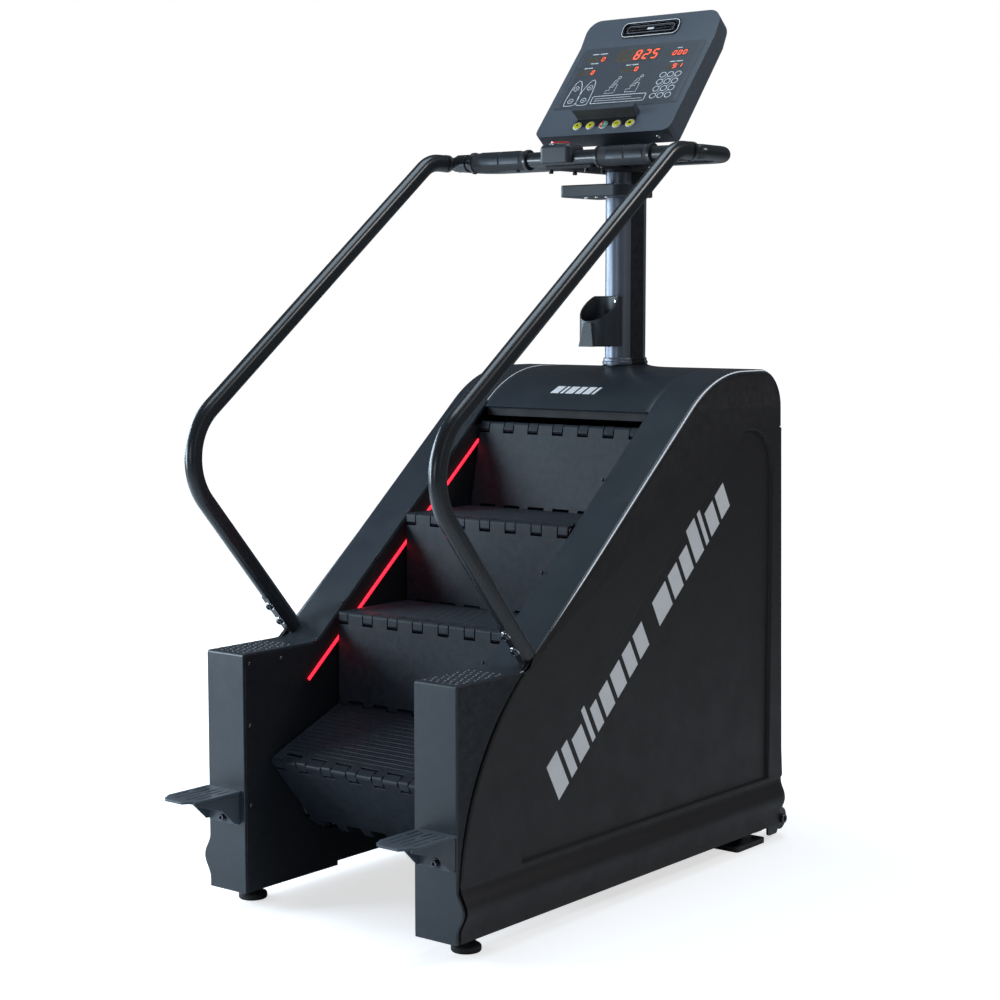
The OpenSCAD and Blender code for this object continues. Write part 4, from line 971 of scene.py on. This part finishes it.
def build_cup():
    low, high = box_mm("bottle_holder")
    r = high.x
    cy = COL_Y - COL_D / 2 - r - 1
    rim_z = low.z + 58
    tilt = math.tan(math.radians(38))

    def rim_at(y):
        return min(high.z, rim_z + (y - (cy - r - 1)) * tilt)

    # Loops up the outside, over the slanted rim and down the inside.
    loops = []
    for inset, level in ((3, low.z), (0, low.z + 3), (0, None), (1, 0.8), (2.5, 0.8), (3.5, None),
                         (3.5, low.z + 5), (6, low.z + 4)):
        loop = []
        for i in range(72):
            c, s = math.cos(2 * math.pi * i / 72), math.sin(2 * math.pi * i / 72)
            top = rim_at(cy + r * s)
            z = top if level is None else top + level if level < 1 else level
            loop.append(((r - inset) * c, cy + (r - inset) * s, z))
        loops.append(loop)
    kit = Kit().add(stack(loops), CUP)
    # Mounting block against the column, its top falling with the rim.
    start, end = cy + 14, COL_Y - COL_D / 2 - 0.3
    level = cy - r - 1 + (high.z - rim_z) / tilt
    side = [(start, low.z), (end, low.z), (end, high.z), (level, high.z), (start, rim_at(start))]
    hollow = prism(shifted(circle(r - 1.5, 64), 0, cy), low.z - 10, high.z + 10, "z")
    kit.add(carve(prism(side, -COL_W / 2, COL_W / 2), ("DIFFERENCE", hollow)), CUP)
    # Front tongue, wider at its foot.
    y0, y1 = cy - r + 5, cy - r - 9
    kit.add(stack([[(-w, y0, z), (w, y0, z), (w, y, z), (-w, y, z)]
                   for w, y, z in ((21.0, y1, low.z), (11.0, y1 + 6, rim_z - 2))]), CUP)
    kit.build("cup", "tube_black", "bottle_holder", bevel=1.2, segments=3, sharp=50)
    screw = (19, cy + r - 3, 1293)
    bits = Kit()
    head = [(0, 4.5), (3, 4.5), (3, 2.5), (5.5, 4), (7.2, 2.6), (7.6, 0), (0, 0)]
    bits.add(lathe(head, screw, (0, -1, 0), 24), CHROME)
    bits.add(lathe([(0, 1.0), (11, 1.0), (11.5, 0), (0, 0)], screw, (0, -1, 0), 28), BLACK)
    bits.build("cup_screw", "chrome")


def build_shelf():
    softened("accessory_shelf", 2.6, CUP)
    bits = Kit()
    head = [(0, -2.6), (2, -2.6), (4.2, -1.6), (4.8, 0), (0, 0)]
    for x, y in ((-24, 930), (4, 930), (24, 942), (-38, 946)):
        bits.add(lathe(head, (x, y, 1534.2), (0, 0, 1), 18), CHROME)
    bits.build("shelf_screws", "chrome")


# ---------------------------------------------------------------- console
FACE_LOW, FACE_LEAN, FACE_LEN = Vector((945.0, 1680.0)), 50.0, 296.0
BROW_LEAN, BROW_LEN = 60.0, 78.0
DEEP = 46.0
BUTTON_S, LIP_H = 28.0, 31.0
CON_W = box_mm("console_housing")[1].x
FACE_TOP = FACE_LOW + unit(FACE_LEAN) * FACE_LEN
BROW_TOP = FACE_TOP + unit(BROW_LEAN) * BROW_LEN
FACE_OUT = Vector((0, *unit(FACE_LEAN + 90)))
UNDERSIDE = Vector((46, -24))
# Windows: X, height up the face, width, height, text.
WINDOWS = ((-66, 234, 124, 42, "  825"), (-150, 241, 55, 18, "   0"), (-155, 198, 47, 18, "   0"),
           (-31, 198, 50, 18, "   0"), (81, 241, 58, 20, " 000"), (98, 198, 46, 18, " 91"))
CAPTIONS = ((-142, 267, 44), (-134, 236, 22), (-146, 221, 25), (-24, 221, 36), (103, 266, 14), (101, 221, 36))
SEGMENTS = {"0": "abcdef", "1": "bc", "2": "abged", "5": "afgcd", "8": "abcdefg", "9": "abcdfg", " ": ""}
PRINT_H = 0.75


def on_face(x, s, h=0.0):
    p = FACE_LOW + unit(FACE_LEAN) * s + unit(FACE_LEAN + 90) * h
    return Vector((x, p.x, p.y))


def on_brow(x, s, h=0.0):
    p = FACE_TOP + unit(BROW_LEAN) * s + unit(BROW_LEAN + 90) * h
    return Vector((x, p.x, p.y))


def plate(points, h0, h1, where=on_face):
    """A thin flat shape on the console face, from one height to another."""
    return stack([[where(x, s, h) for x, s in points] for h in (h0, h1)])


def bar_plate(x0, s0, x1, s1, r, h0=0.2, h1=PRINT_H, where=on_face, n=2):
    return plate(rounded_rect(x0, s0, x1, s1, r, n), h0, h1, where)


def line_on(points, width, closed=True, h=PRINT_H, where=on_face):
    """A printed line of even width on the console face."""
    normal = (where(0, 0, 1.0) - where(0, 0, 0.0)).normalized()
    half = width / 2
    section = [(-0.3, -half), (h, -half), (h, half), (-0.3, half)]
    return sweep([where(x, s, 0.0) for x, s in points], section, side=normal, closed=closed)


def ring_on(x, s, r, width, count=20):
    return line_on(shifted(circle(r, count), x, s), width)


def digit(kit, char, x, s, w, h):
    """A leaning seven-segment digit with its lit and unlit bars."""
    t = h * 0.1
    half = h / 2
    lean = 0.14
    bars = {"a": ((0, h), (w, h)), "g": ((0, half), (w, half)), "d": ((0, 0), (w, 0)),
            "f": ((0, half), (0, h)), "e": ((0, 0), (0, half)),
            "b": ((w, half), (w, h)), "c": ((w, 0), (w, half))}
    for name, (p, q) in bars.items():
        p, q = Vector(p), Vector(q)
        d = (q - p).normalized()
        n = Vector((-d.y, d.x)) * t / 2
        p, q = p + d * t * 0.35, q - d * t * 0.35
        cut = d * t * 0.4
        corners = (p, p + cut + n, q - cut + n, q, q - cut - n, p + cut - n)
        pts = [(x + v.x + lean * v.y, s + v.y) for v in corners]
        on = name in SEGMENTS[char]
        kit.add(plate(pts, 0.6, 1.3 if on else 1.05), LIT if on else DIM)


def console_profile(inset):
    """Side outline of the housing, drawn in by inset."""
    back_mid = FACE_TOP + Vector((sind(55), -cosd(55))) * DEEP
    back_top = BROW_TOP + Vector((sind(60), -cosd(60))) * (DEEP - 6)
    pts = [FACE_LOW, FACE_TOP, BROW_TOP, back_top, back_mid, FACE_LOW + UNDERSIDE]
    out = []
    for i, p in enumerate(pts):
        a, b = (p - pts[i - 1]).normalized(), (pts[(i + 1) % len(pts)] - p).normalized()
        na, nb = Vector((a.y, -a.x)), Vector((b.y, -b.x))
        m = (na + nb).normalized()
        out.append(tuple(p + m * (inset / max(0.3, m.dot(na)))))
    return out


def console_outline(inset, r):
    """Front outline of the housing, with wide corners at the top and small ones at the bottom."""
    top_s = FACE_LEN + BROW_LEN * cosd(BROW_LEAN - FACE_LEAN)
    w = CON_W - inset
    low_r = max(6.0, 22.0 - inset)
    out = arc((w - r, top_s - inset - r), r, 0, 90, 9) + arc((-w + r, top_s - inset - r), r, 90, 180, 9)
    return out + arc((-w + low_r, inset + low_r), low_r, 180, 270, 9) + arc(
        (w - low_r, inset + low_r), low_r, 270, 360, 9)


def build_console():
    def shell(inset, r):
        block = prism(console_profile(inset), inset - CON_W, CON_W - inset)
        return block, ("INTERSECT", plate(console_outline(inset, r), -110, 90))

    block, front = shell(0, 38.0)
    hollow = carve(*shell(4.0, 34.0))
    vent_hole = plate(rounded_rect(-79, 24, 79, 56, 12), -8, 10, on_brow)
    body = Kit().add(carve(block, front, ("DIFFERENCE", hollow), ("DIFFERENCE", vent_hole)), CASE).build(
        "console_body", "console_shell", "console_housing", bevel=3.2, segments=3, sharp=24, smooth=30)
    # Painted shade on the down-facing underside, which takes the darker cup plastic, and a painted highlight
    # along the right-hand bevel.
    body.data.materials.append(CUP)
    body.data.materials.append(PAINTED_HIGHLIGHT)
    for face in body.data.polygons:
        if face.normal.z < -0.5:
            face.material_index = 1
        elif face.normal.x > 0.45 and 0.5 < face.normal.dot(FACE_OUT) < 0.88:
            face.material_index = 2
    film = bar_plate(-176, 86, 176, 289, 5, -2.0, 0.5, n=6)
    Kit().add(film, FILM).build("console_film", "console_face", "console_panel", bevel=0.3)
    build_display()
    build_print()
    build_vent()
    build_ledge()
    for i in range(5):
        build_button(i)
    bits = Kit()
    down = Vector((0, *UNDERSIDE)).normalized()
    out = Vector((0, UNDERSIDE.y, -UNDERSIDE.x)).normalized()
    head = [(0, 2.2), (3, 2.0), (4.8, 1.0), (5.2, 0), (0, -1)]
    for x in (-150, 150):
        bits.add(lathe(head, Vector((x, *FACE_LOW)) + down * 26, out, 18), CHROME)
    bits.build("console_screws", "chrome")


def build_display():
    kit = Kit()
    for x, s, w, h, text in WINDOWS:
        kit.add(bar_plate(x, s, x + w, s + h, 1.5, 0.2, 0.9), WINDOW)
        pitch = w / len(text)
        for i, char in enumerate(text):
            digit(kit, char, x + i * pitch + pitch * 0.16, s + h * 0.16, pitch * 0.52, h * 0.66)
    kit.build("display_lamps", "display_red", "display_windows")


def build_print():
    """Plain bars for captions, round keys, outline symbols and a fading field of dots."""
    ink = Kit()

    def draw(*shells):
        for shell in shells:
            ink.add(shell, WHITE)

    for x, s, w in CAPTIONS:
        draw(bar_plate(x, s, x + w * 0.42, s + 2.8, 0.8), bar_plate(x + w * 0.5, s, x + w, s + 2.8, 0.8))
    # Two leaves with round keys.
    leaf = [(-33, 99), (-35, 112), (-34, 135), (-32, 158), (-28, 174), (-22, 181), (-15, 178), (-8, 165),
            (-2, 146), (1, 126), (0, 108), (-4, 100), (-14, 98), (-25, 98)]
    for flip in (1, -1):
        mid = -118.0
        draw(line_on([(mid + flip * x, s) for x, s in leaf], 1.8))
        for x, s in ((mid - flip * 19, 114), (mid - flip * 20, 155)):
            draw(ring_on(x, s, 7.2, 1.5), bar_plate(x - 3, s - 1, x + 3, s + 1, 0.8))
    # Two simple outline symbols of a body on steps.
    stair = [(-20, 132), (16, 132), (16, 160), (4, 160), (4, 151), (-8, 151), (-8, 142), (-20, 142)]
    figure = [(-12, 150), (-3, 164), (2, 174), (9, 176), (11, 169), (4, 160)]
    for x, k in ((-32, 0.72), (29, 0.86)):
        for shape in (stair, figure):
            draw(line_on([(x + k * a, b) for a, b in shape], 1.4))
        draw(ring_on(x + k * 13, 182, 3.8, 1.4, 14))
    draw(line_on(rounded_rect(-74, 101, 78, 124, 3, 3), 1.8))
    for end, s in ((70, 109), (38, 116)):
        draw(line_on([(-66, s), (end, s)], 1.2, closed=False))
    # Number keys: linked rings in three columns and four rows.
    for row in range(4):
        for col in range(3):
            cx, cs = 99.8 + col * 21, 113 + row * 22.4
            draw(ring_on(cx, cs, 8.0, 1.9))
            if row < 3 and col < 2:
                draw(line_on([(cx + 6.2, cs + 6.2), (cx + 14.8, cs + 16.2)], 1.4, closed=False))
    ink.build("console_print", "console_face")
    dots = Kit()
    for side in (1, -1):
        for row in range(46):
            for col in range(7):
                r = 1.25 * (1 - abs(col - 3) / 5) * (1 - 0.5 * row / 46)
                x = side * (158 + col * 2.9 + (row % 2) * 1.4)
                dots.add(plate(shifted(circle(r, 6), x, 96 + row * 4.1), 0.3, 0.62), PRINT_AND_STUD_SHEEN)
    dots.build("console_dots", "console_face")


def build_vent():
    kit = Kit()
    outer, inner = rounded_rect(-84, 17, 84, 63, 17), rounded_rect(-76, 25, 76, 55, 11)
    n = len(outer)
    verts = [on_brow(x, s, h) for loop in (outer, inner) for h in (-5, 2.0) for x, s in loop]
    kit.add((verts, band(n, 0, n) + band(n, 2 * n, 3 * n) + band(n, n, 3 * n) + band(n, 0, 2 * n)), BLACK)
    # A near-black plate behind the grille, painted shadow inside the vent.
    kit.add(plate(inner, -7, -4, on_brow), GAP)
    for s in (31, 38.5, 46):
        kit.add(bar_plate(-72, s, 72, s + 3.2, 1.2, -4.5, 0.6, on_brow), BLACK)
    for i in range(-9, 10):
        kit.add(bar_plate(i * 7.6 - 0.7, 27, i * 7.6 + 0.7, 53, 0.5, -4.5, -1.0, on_brow), BLACK)
    kit.build("vent_frame", "console_shell", "fan_grille", bevel=0.6)
    lines = Kit()
    lines.add(line_on(rounded_rect(-81, 20, 81, 60, 14), 1.6, True, 2.5, on_brow), GLOWING_PRINT)
    lines.add(line_on(rounded_rect(-66, 31, 66, 50, 6), 1.6, True, 1.2, on_brow), PRINT_AND_STUD_SHEEN)
    lines.add(bar_plate(-9, 38, 9, 42.5, 1.5, 0.2, 1.3, on_brow), GLOWING_PRINT)
    lines.build("vent_lines", "console_shell")


def build_ledge():
    """Reading ledge over the buttons with a darker sheet on its underside for painted shade, and the black
    plate that the buttons sit in, whose black also paints the shade under the ledge.
    """
    kit = Kit()
    wedge = ((84, 50.0, -1.0), (88.5, 51.5, LIP_H), (88.5, 64.0, LIP_H - 2.0), (84, 68.0, -1.0))
    kit.add(stack([[on_face(sign * x, s, h) for x, s, h in wedge] for sign in (-1, 1)]), FILM)
    # A darker sheet on the underside of the ledge, painted shade.
    under = [[on_face(x, s + d, h) for x, d in ((-w, -0.7), (w, -0.7), (w, 0.5), (-w, 0.5))]
             for w, s, h in ((86.5, 51.3, LIP_H - 1.8), (82.5, 50.0, 0.3))]
    kit.add(stack(under), SHELL)
    holes = []
    for i in range(5):
        low, high = box_mm(f"button_{i + 1}")
        centre = on_face((low.x + high.x) / 2, BUTTON_S)
        holes.append(("DIFFERENCE", drill(centre, FACE_OUT, 12.25, 8, 36)))
    # The black of the button plate also paints the shade under the ledge.
    kit.add(carve(bar_plate(-86, 25, 86, 50.5, 8, -1.0, 0.5, n=6), *holes), BLACK)
    kit.build("button_ledge", "console_shell", bevel=0.8, sharp=50)


def build_button(i):
    """A cap in a white band: yellow with a plain sign, or split red and green in the middle."""
    name = f"button_{i + 1}"
    low, high = box_mm(name)
    x, r, s = (low.x + high.x) / 2, (high.x - low.x) / 2, BUTTON_S

    def sign(points, h0, h1, material):
        cap.add(plate(shifted(points, x, s), h0, h1), material)

    ring = [(10.2, -6), (r - 0.1, -6), (r - 0.1, 1.9), (r - 0.5, 2.3), (10.4, 2.5), (10.2, 2.3), (10.2, -6)]
    cap = Kit().add(lathe(ring, on_face(x, s), FACE_OUT), WHITE)
    if i == 2:
        for material, a0 in ((RED, 90), (GREEN, -90)):
            sign(arc((0, 0), 10.1, a0, a0 + 180, 14), -6, 3.2, material)
        sign([(-7.5, -3), (-3.5, -3), (-3.5, 3), (-7.5, 3)], 3.0, 3.4, WHITE)
        sign([(3.5, -3), (8.5, 0), (3.5, 3)], 3.0, 3.4, WHITE)
    else:
        dome = [(0, -6), (10.1, -6), (10.1, 2.6), (9.2, 3.3), (0, 3.6)]
        cap.add(lathe(dome, on_face(x, s), FACE_OUT, 36), YELLOW)
        marks = {0: [(-4, -2), (4, -2), (0, 4)], 1: [(-4, 2.5), (4, 2.5), (0, -4)],
                 3: [(-5, -1.2), (5, -1.2), (5, 1.2), (-5, 1.2)], 4: [(-4, -3), (4, -3), (4, 3), (-4, 3)]}
        sign(marks[i], 3.3, 3.9, INK)
    cap.build(name + "_cap", "button_split" if i == 2 else "button_yellow", name, name, 0.25)


# ---------------------------------------------------------------- feet, wheels, lights
def build_feet():
    for side in ("left", "right"):
        foot, wheel = side + "_front_foot", side + "_wheel"
        low, high = box_mm(foot)
        c = ((low.x + high.x) / 2, (low.y + high.y) / 2)
        r = (high.x - low.x) / 2
        shape = [(0, 0.2), (r - 4, 0.2), (r - 1.5, 1.0), (r, 3.5), (r, 11), (r - 1.5, 13.6), (r - 6, 15.5),
                 (20, 20.5), (17, 22), (8, 22), (8, high.z), (0, high.z)]
        kit = Kit().add(lathe(shape, (*c, 0), (0, 0, 1), 48), RUBBER)
        kit.add(prism(shifted(circle(13, 6), *c), 22, 30, "z"), BARE)
        kit.build(side + "_foot_pad", "rubber_black", foot, foot, 0.4)
        low, high = box_mm(wheel)
        r = (high.z - low.z) / 2
        c = (0, (low.y + high.y) / 2, (low.z + high.z) / 2)
        half = [(8.2, 3), (12, 0), (16, 0), (18, 2), (r - 7, 2), (r - 4, 0.5), (r - 1, 2), (r, 5)]
        shape = [(a, low.x + b) for a, b in half] + [(a, high.x - b) for a, b in half[::-1]]
        tyre = Kit().add(lathe(shape, c, (1, 0, 0), 56), RUBBER)
        tyre.build(side + "_wheel_tyre", "rubber_black", wheel, wheel)


LED_START, LED_A, LED_LEN, LED_W = Vector((197.0, 471.0)), 39.8, 770, 7


def build_led():
    along, across = unit(LED_A) * LED_LEN, unit(LED_A + 90) * LED_W
    outline = [LED_START, LED_START + along, LED_START + along + across, LED_START + across]
    kit = Kit()
    for sign in (1, -1):
        kit.add(prism(outline, sign * (WALL_FACE - 3.0), sign * (WALL_FACE - 0.1)), LED)
    kit.build("led_bars", "led_red", "led_strips", bevel=1.2, segments=3)


# ---------------------------------------------------------------- fasteners
WALL_SCREWS = ((17, 533), (112, 532), (222, 557), (310, 632), (421, 723), (532, 815), (640, 905), (17, 400),
               (17, 228), (196, 175))
WHEEL_AXLE = (1240.0, 48.0)


def socket_head(kit, centre, axis, r, h):
    """A dark cap screw head with a six-sided socket."""
    head = [(0, -1), (r, -1), (r, h - 1), (r - 1, h), (r * 0.62, h), (r * 0.56, h - 0.6)]
    kit.add(lathe(head, centre, axis, 30), DARK_METAL)
    kit.add(lathe([(r * 0.56, h - 0.6), (r * 0.5, h - 3.2), (0, h - 3.6)], centre, axis, 6), DARK_METAL)


def build_fasteners():
    bright, dull = Kit(), Kit()
    foot = ELBOW + unit(LEG_A) * (RAIL_FOOT - ELBOW).length
    for sign in (1, -1):
        for up in (62.0, 109.0):
            p = foot - unit(LEG_A) * up + LEG_ACROSS * (RAIL_D / 2 + 0.2)
            c, d = (splayed(Vector((0, *q)), sign < 0) for q in (p, p + LEG_ACROSS))
            socket_head(bright, c, d - c, 8.0, 7.0)
            bright.add(lathe([(0, 1.4), (10.5, 1.4), (11, 0.8), (11, 0), (0, 0)], c, d - c, 30), CHROME)
        c = (sign * 297.0, -5.2, 198.0)
        socket_head(bright, c, (0, -1, 0), 7.0, 8.0)
        bright.add(lathe([(0, 2.0), (10, 2.0), (10.5, 1.2), (10.5, 0), (0, 0)], c, (0, -1, 0), 30), BLACK)
        socket_head(dull, (sign * 339.2, *WHEEL_AXLE), (sign, 0, 0), 11.0, 12.6)
        dull.add(lathe([(8, 291 * sign), (8, 341 * sign)], (0, *WHEEL_AXLE), (1, 0, 0), 24), BARE)
        for p in WALL_SCREWS:
            dull.add(lathe([(0, 1.9), (1.6, 1.9), (3.4, 1.3), (4.2, 0.2), (4.2, -0.2), (0, -0.2)],
                           (sign * (WALL_FACE - 0.2), *p), (-sign, 0, 0), 20), DARK_METAL)
    bright.build("socket_screws", "chrome", "fasteners", smooth=40)
    dull.build("plain_screws", "bare_steel", smooth=40)


# ---------------------------------------------------------------- printed stripes
STRIPE_LOW, STRIPE_HIGH, STRIPE_LEAN = Vector((345.0, 263.0)), Vector((997.0, 827.0)), 0.2
# Width and height of each block; a width of 0 is a wide gap.
STRIPES = ((46, 86), (26, 76), (44, 62), (14, 84), (28, 62), (40, 62), (44, 62), (40, 62), (44, 62), (0, 0),
           (66, 62), (44, 62), (40, 62), (42, 86), (14, 84), (42, 62), (44, 62))
COWL_MARKS = ((-70, 22), (-42, 8), (-28, 22), (0, 16), (22, 20), (48, 8))


def build_stripes():
    """Plain slanted bars where a maker would print a name."""
    bars = Kit()
    along = (STRIPE_HIGH - STRIPE_LOW).normalized()
    up = Vector((-along.y, along.x))
    gap = ((STRIPE_HIGH - STRIPE_LOW).length - sum(w for w, tall in STRIPES)) / (len(STRIPES) + 1.0)
    x = HALF_BODY - RECESS_D
    t = 0.0
    for w, tall in STRIPES:
        if w:
            top = along * (tall * STRIPE_LEAN) + up * tall
            low, high = STRIPE_LOW + along * t, STRIPE_LOW + along * (t + w)
            for s in (1, -1):
                bars.add(prism([low, high, high + top, low + top], s * (x - 0.4), s * (x + 0.35)), GLOWING_PRINT)
        t += w + gap * (1 if w else 3)
    bars.build("side_stripes", "side_shell")
    marks = Kit()
    for x, w in COWL_MARKS:
        pts = [(x, 852), (x + w, 852), (x + w + 7, 876), (x + 7, 876)]
        marks.add(stack([[(a, b, cowl_z(b) + lift) for a, b in pts] for lift in (-0.5, 0.4)]), GLOWING_PRINT)
    marks.build("cowl_stripes", "black_trim")


# ---------------------------------------------------------------- stage
COOL, WARM = (0.72, 0.87, 1.0), (1.0, 0.95, 0.95)
LAMP_AIM = Vector((0, 0, 0.9))
FLOOR = 40.0
# Name, place and size in metres, watts, colour.
LAMPS = (("near_left", (-1.9, -2.1, 1.0), 0.8, 38, COOL), ("far_left", (-4.0, -2.0, 2.2), 1.6, 85, COOL),
         ("left", (-3.6, -0.2, 1.6), 1.6, 70, COOL), ("front", (1.2, -4.2, 1.4), 1.2, 12, COOL),
         ("side", (4.8, -0.4, 2.0), 2.4, 5, WARM), ("top", (0.2, 0.2, 4.6), 2.4, 72, COOL),
         ("rim", (3.0, 1.8, 3.4), 0.9, 26, (1.0, 0.98, 0.98)))
CAMERA_AT, CAMERA_DOWN, CAMERA_TURN = (2.85566, -3.60558, 1.29549), 6.24, 38.37
LENS, SENSOR_W, SHIFT_X, SHIFT_Y = 74.67, 36.0, 0.0027, 0.0268


def white(tree, kind):
    n = tree.nodes.new(kind)
    set_inputs(n, {"Color": (1.0, 1.0, 1.0, 1.0), "Strength": 1.0})
    return n


def split_for_camera(tree, for_light, for_camera, output):
    """Lets the camera see one shader where the lights see another."""
    path = tree.nodes.new("ShaderNodeLightPath")
    mix = tree.nodes.new("ShaderNodeMixShader")
    tree.links.new(path.outputs["Is Camera Ray"], mix.inputs[0])
    tree.links.new(for_light.outputs[0], mix.inputs[1])
    tree.links.new(for_camera.outputs[0], mix.inputs[2])
    tree.links.new(mix.outputs[0], tree.nodes[output].inputs["Surface"])


def build_floor():
    mesh = bpy.data.meshes.new("floor")
    corners = [(-FLOOR, -FLOOR, 0), (FLOOR, -FLOOR, 0), (FLOOR, FLOOR, 0), (-FLOOR, FLOOR, 0)]
    mesh.from_pydata(corners, [], [(0, 1, 2, 3)])
    paint = finish("floor_paint", (0.88, 0.885, 0.9), 0.7, spread=0.004, bump=0.0, wear=0)
    tree = paint.node_tree
    surface = tree.nodes["Principled BSDF"]
    glow = white(tree, "ShaderNodeEmission")
    coord = tree.nodes.new("ShaderNodeTexCoord")
    reach = tree.nodes.new("ShaderNodeVectorMath")
    reach.operation = "LENGTH"
    tree.links.new(coord.outputs["Object"], reach.inputs[0])
    tree.links.new(ranged(tree, reach.outputs["Value"], 0.9, 3.2, 0.66, 1.0), glow.inputs["Strength"])
    add = tree.nodes.new("ShaderNodeAddShader")
    tree.links.new(surface.outputs[0], add.inputs[0])
    tree.links.new(glow.outputs[0], add.inputs[1])
    split_for_camera(tree, surface, add, "Material Output")
    link("floor", mesh, [paint])


def build_studio():
    world = bpy.data.worlds.new("studio")
    bpy.context.scene.world = world
    world.use_nodes = True
    tree = world.node_tree
    soft = tree.nodes["Background"]
    set_inputs(soft, {"Color": (0.86, 0.92, 1.0, 1.0), "Strength": 0.08})
    split_for_camera(tree, soft, white(tree, "ShaderNodeBackground"), "World Output")
    for name, at, size, power, colour in LAMPS:
        data = bpy.data.lights.new(name, "AREA")
        data.energy = power
        data.size = size
        data.color = colour
        lamp = bpy.data.objects.new(name, data)
        lamp.location = at
        lamp.rotation_euler = (LAMP_AIM - Vector(at)).to_track_quat("-Z", "Y").to_euler()
        bpy.context.scene.collection.objects.link(lamp)


def build_camera():
    data = bpy.data.cameras.new("camera")
    data.lens = LENS
    data.sensor_width = SENSOR_W
    data.shift_x = SHIFT_X
    data.shift_y = SHIFT_Y
    data.clip_start, data.clip_end = 0.05, 200
    cam = bpy.data.objects.new("camera", data)
    cam.location = CAMERA_AT
    cam.rotation_euler = (math.radians(90 - CAMERA_DOWN), 0.0, math.radians(CAMERA_TURN))
    bpy.context.scene.collection.objects.link(cam)
    bpy.context.scene.camera = cam


# ---------------------------------------------------------------- assembly
SIDES = (("right", False), ("left", True))
for side, mirror in SIDES:
    build_side(side, mirror)
for node in ("right_inner_wall", "left_inner_wall"):
    softened(node, 0.6, WALL)
build_top_cover()
build_steps()
build_plain()
build_column()
for side, mirror in SIDES:
    build_handrail(side, mirror)
build_bar()
build_grips()
build_switch()
build_cup()
build_shelf()
build_console()
build_feet()
build_led()
build_fasteners()
build_stripes()
build_floor()
build_studio()
build_camera()
bpy.context.scene.view_settings.view_transform = "Standard"
bpy.context.view_layer.update()
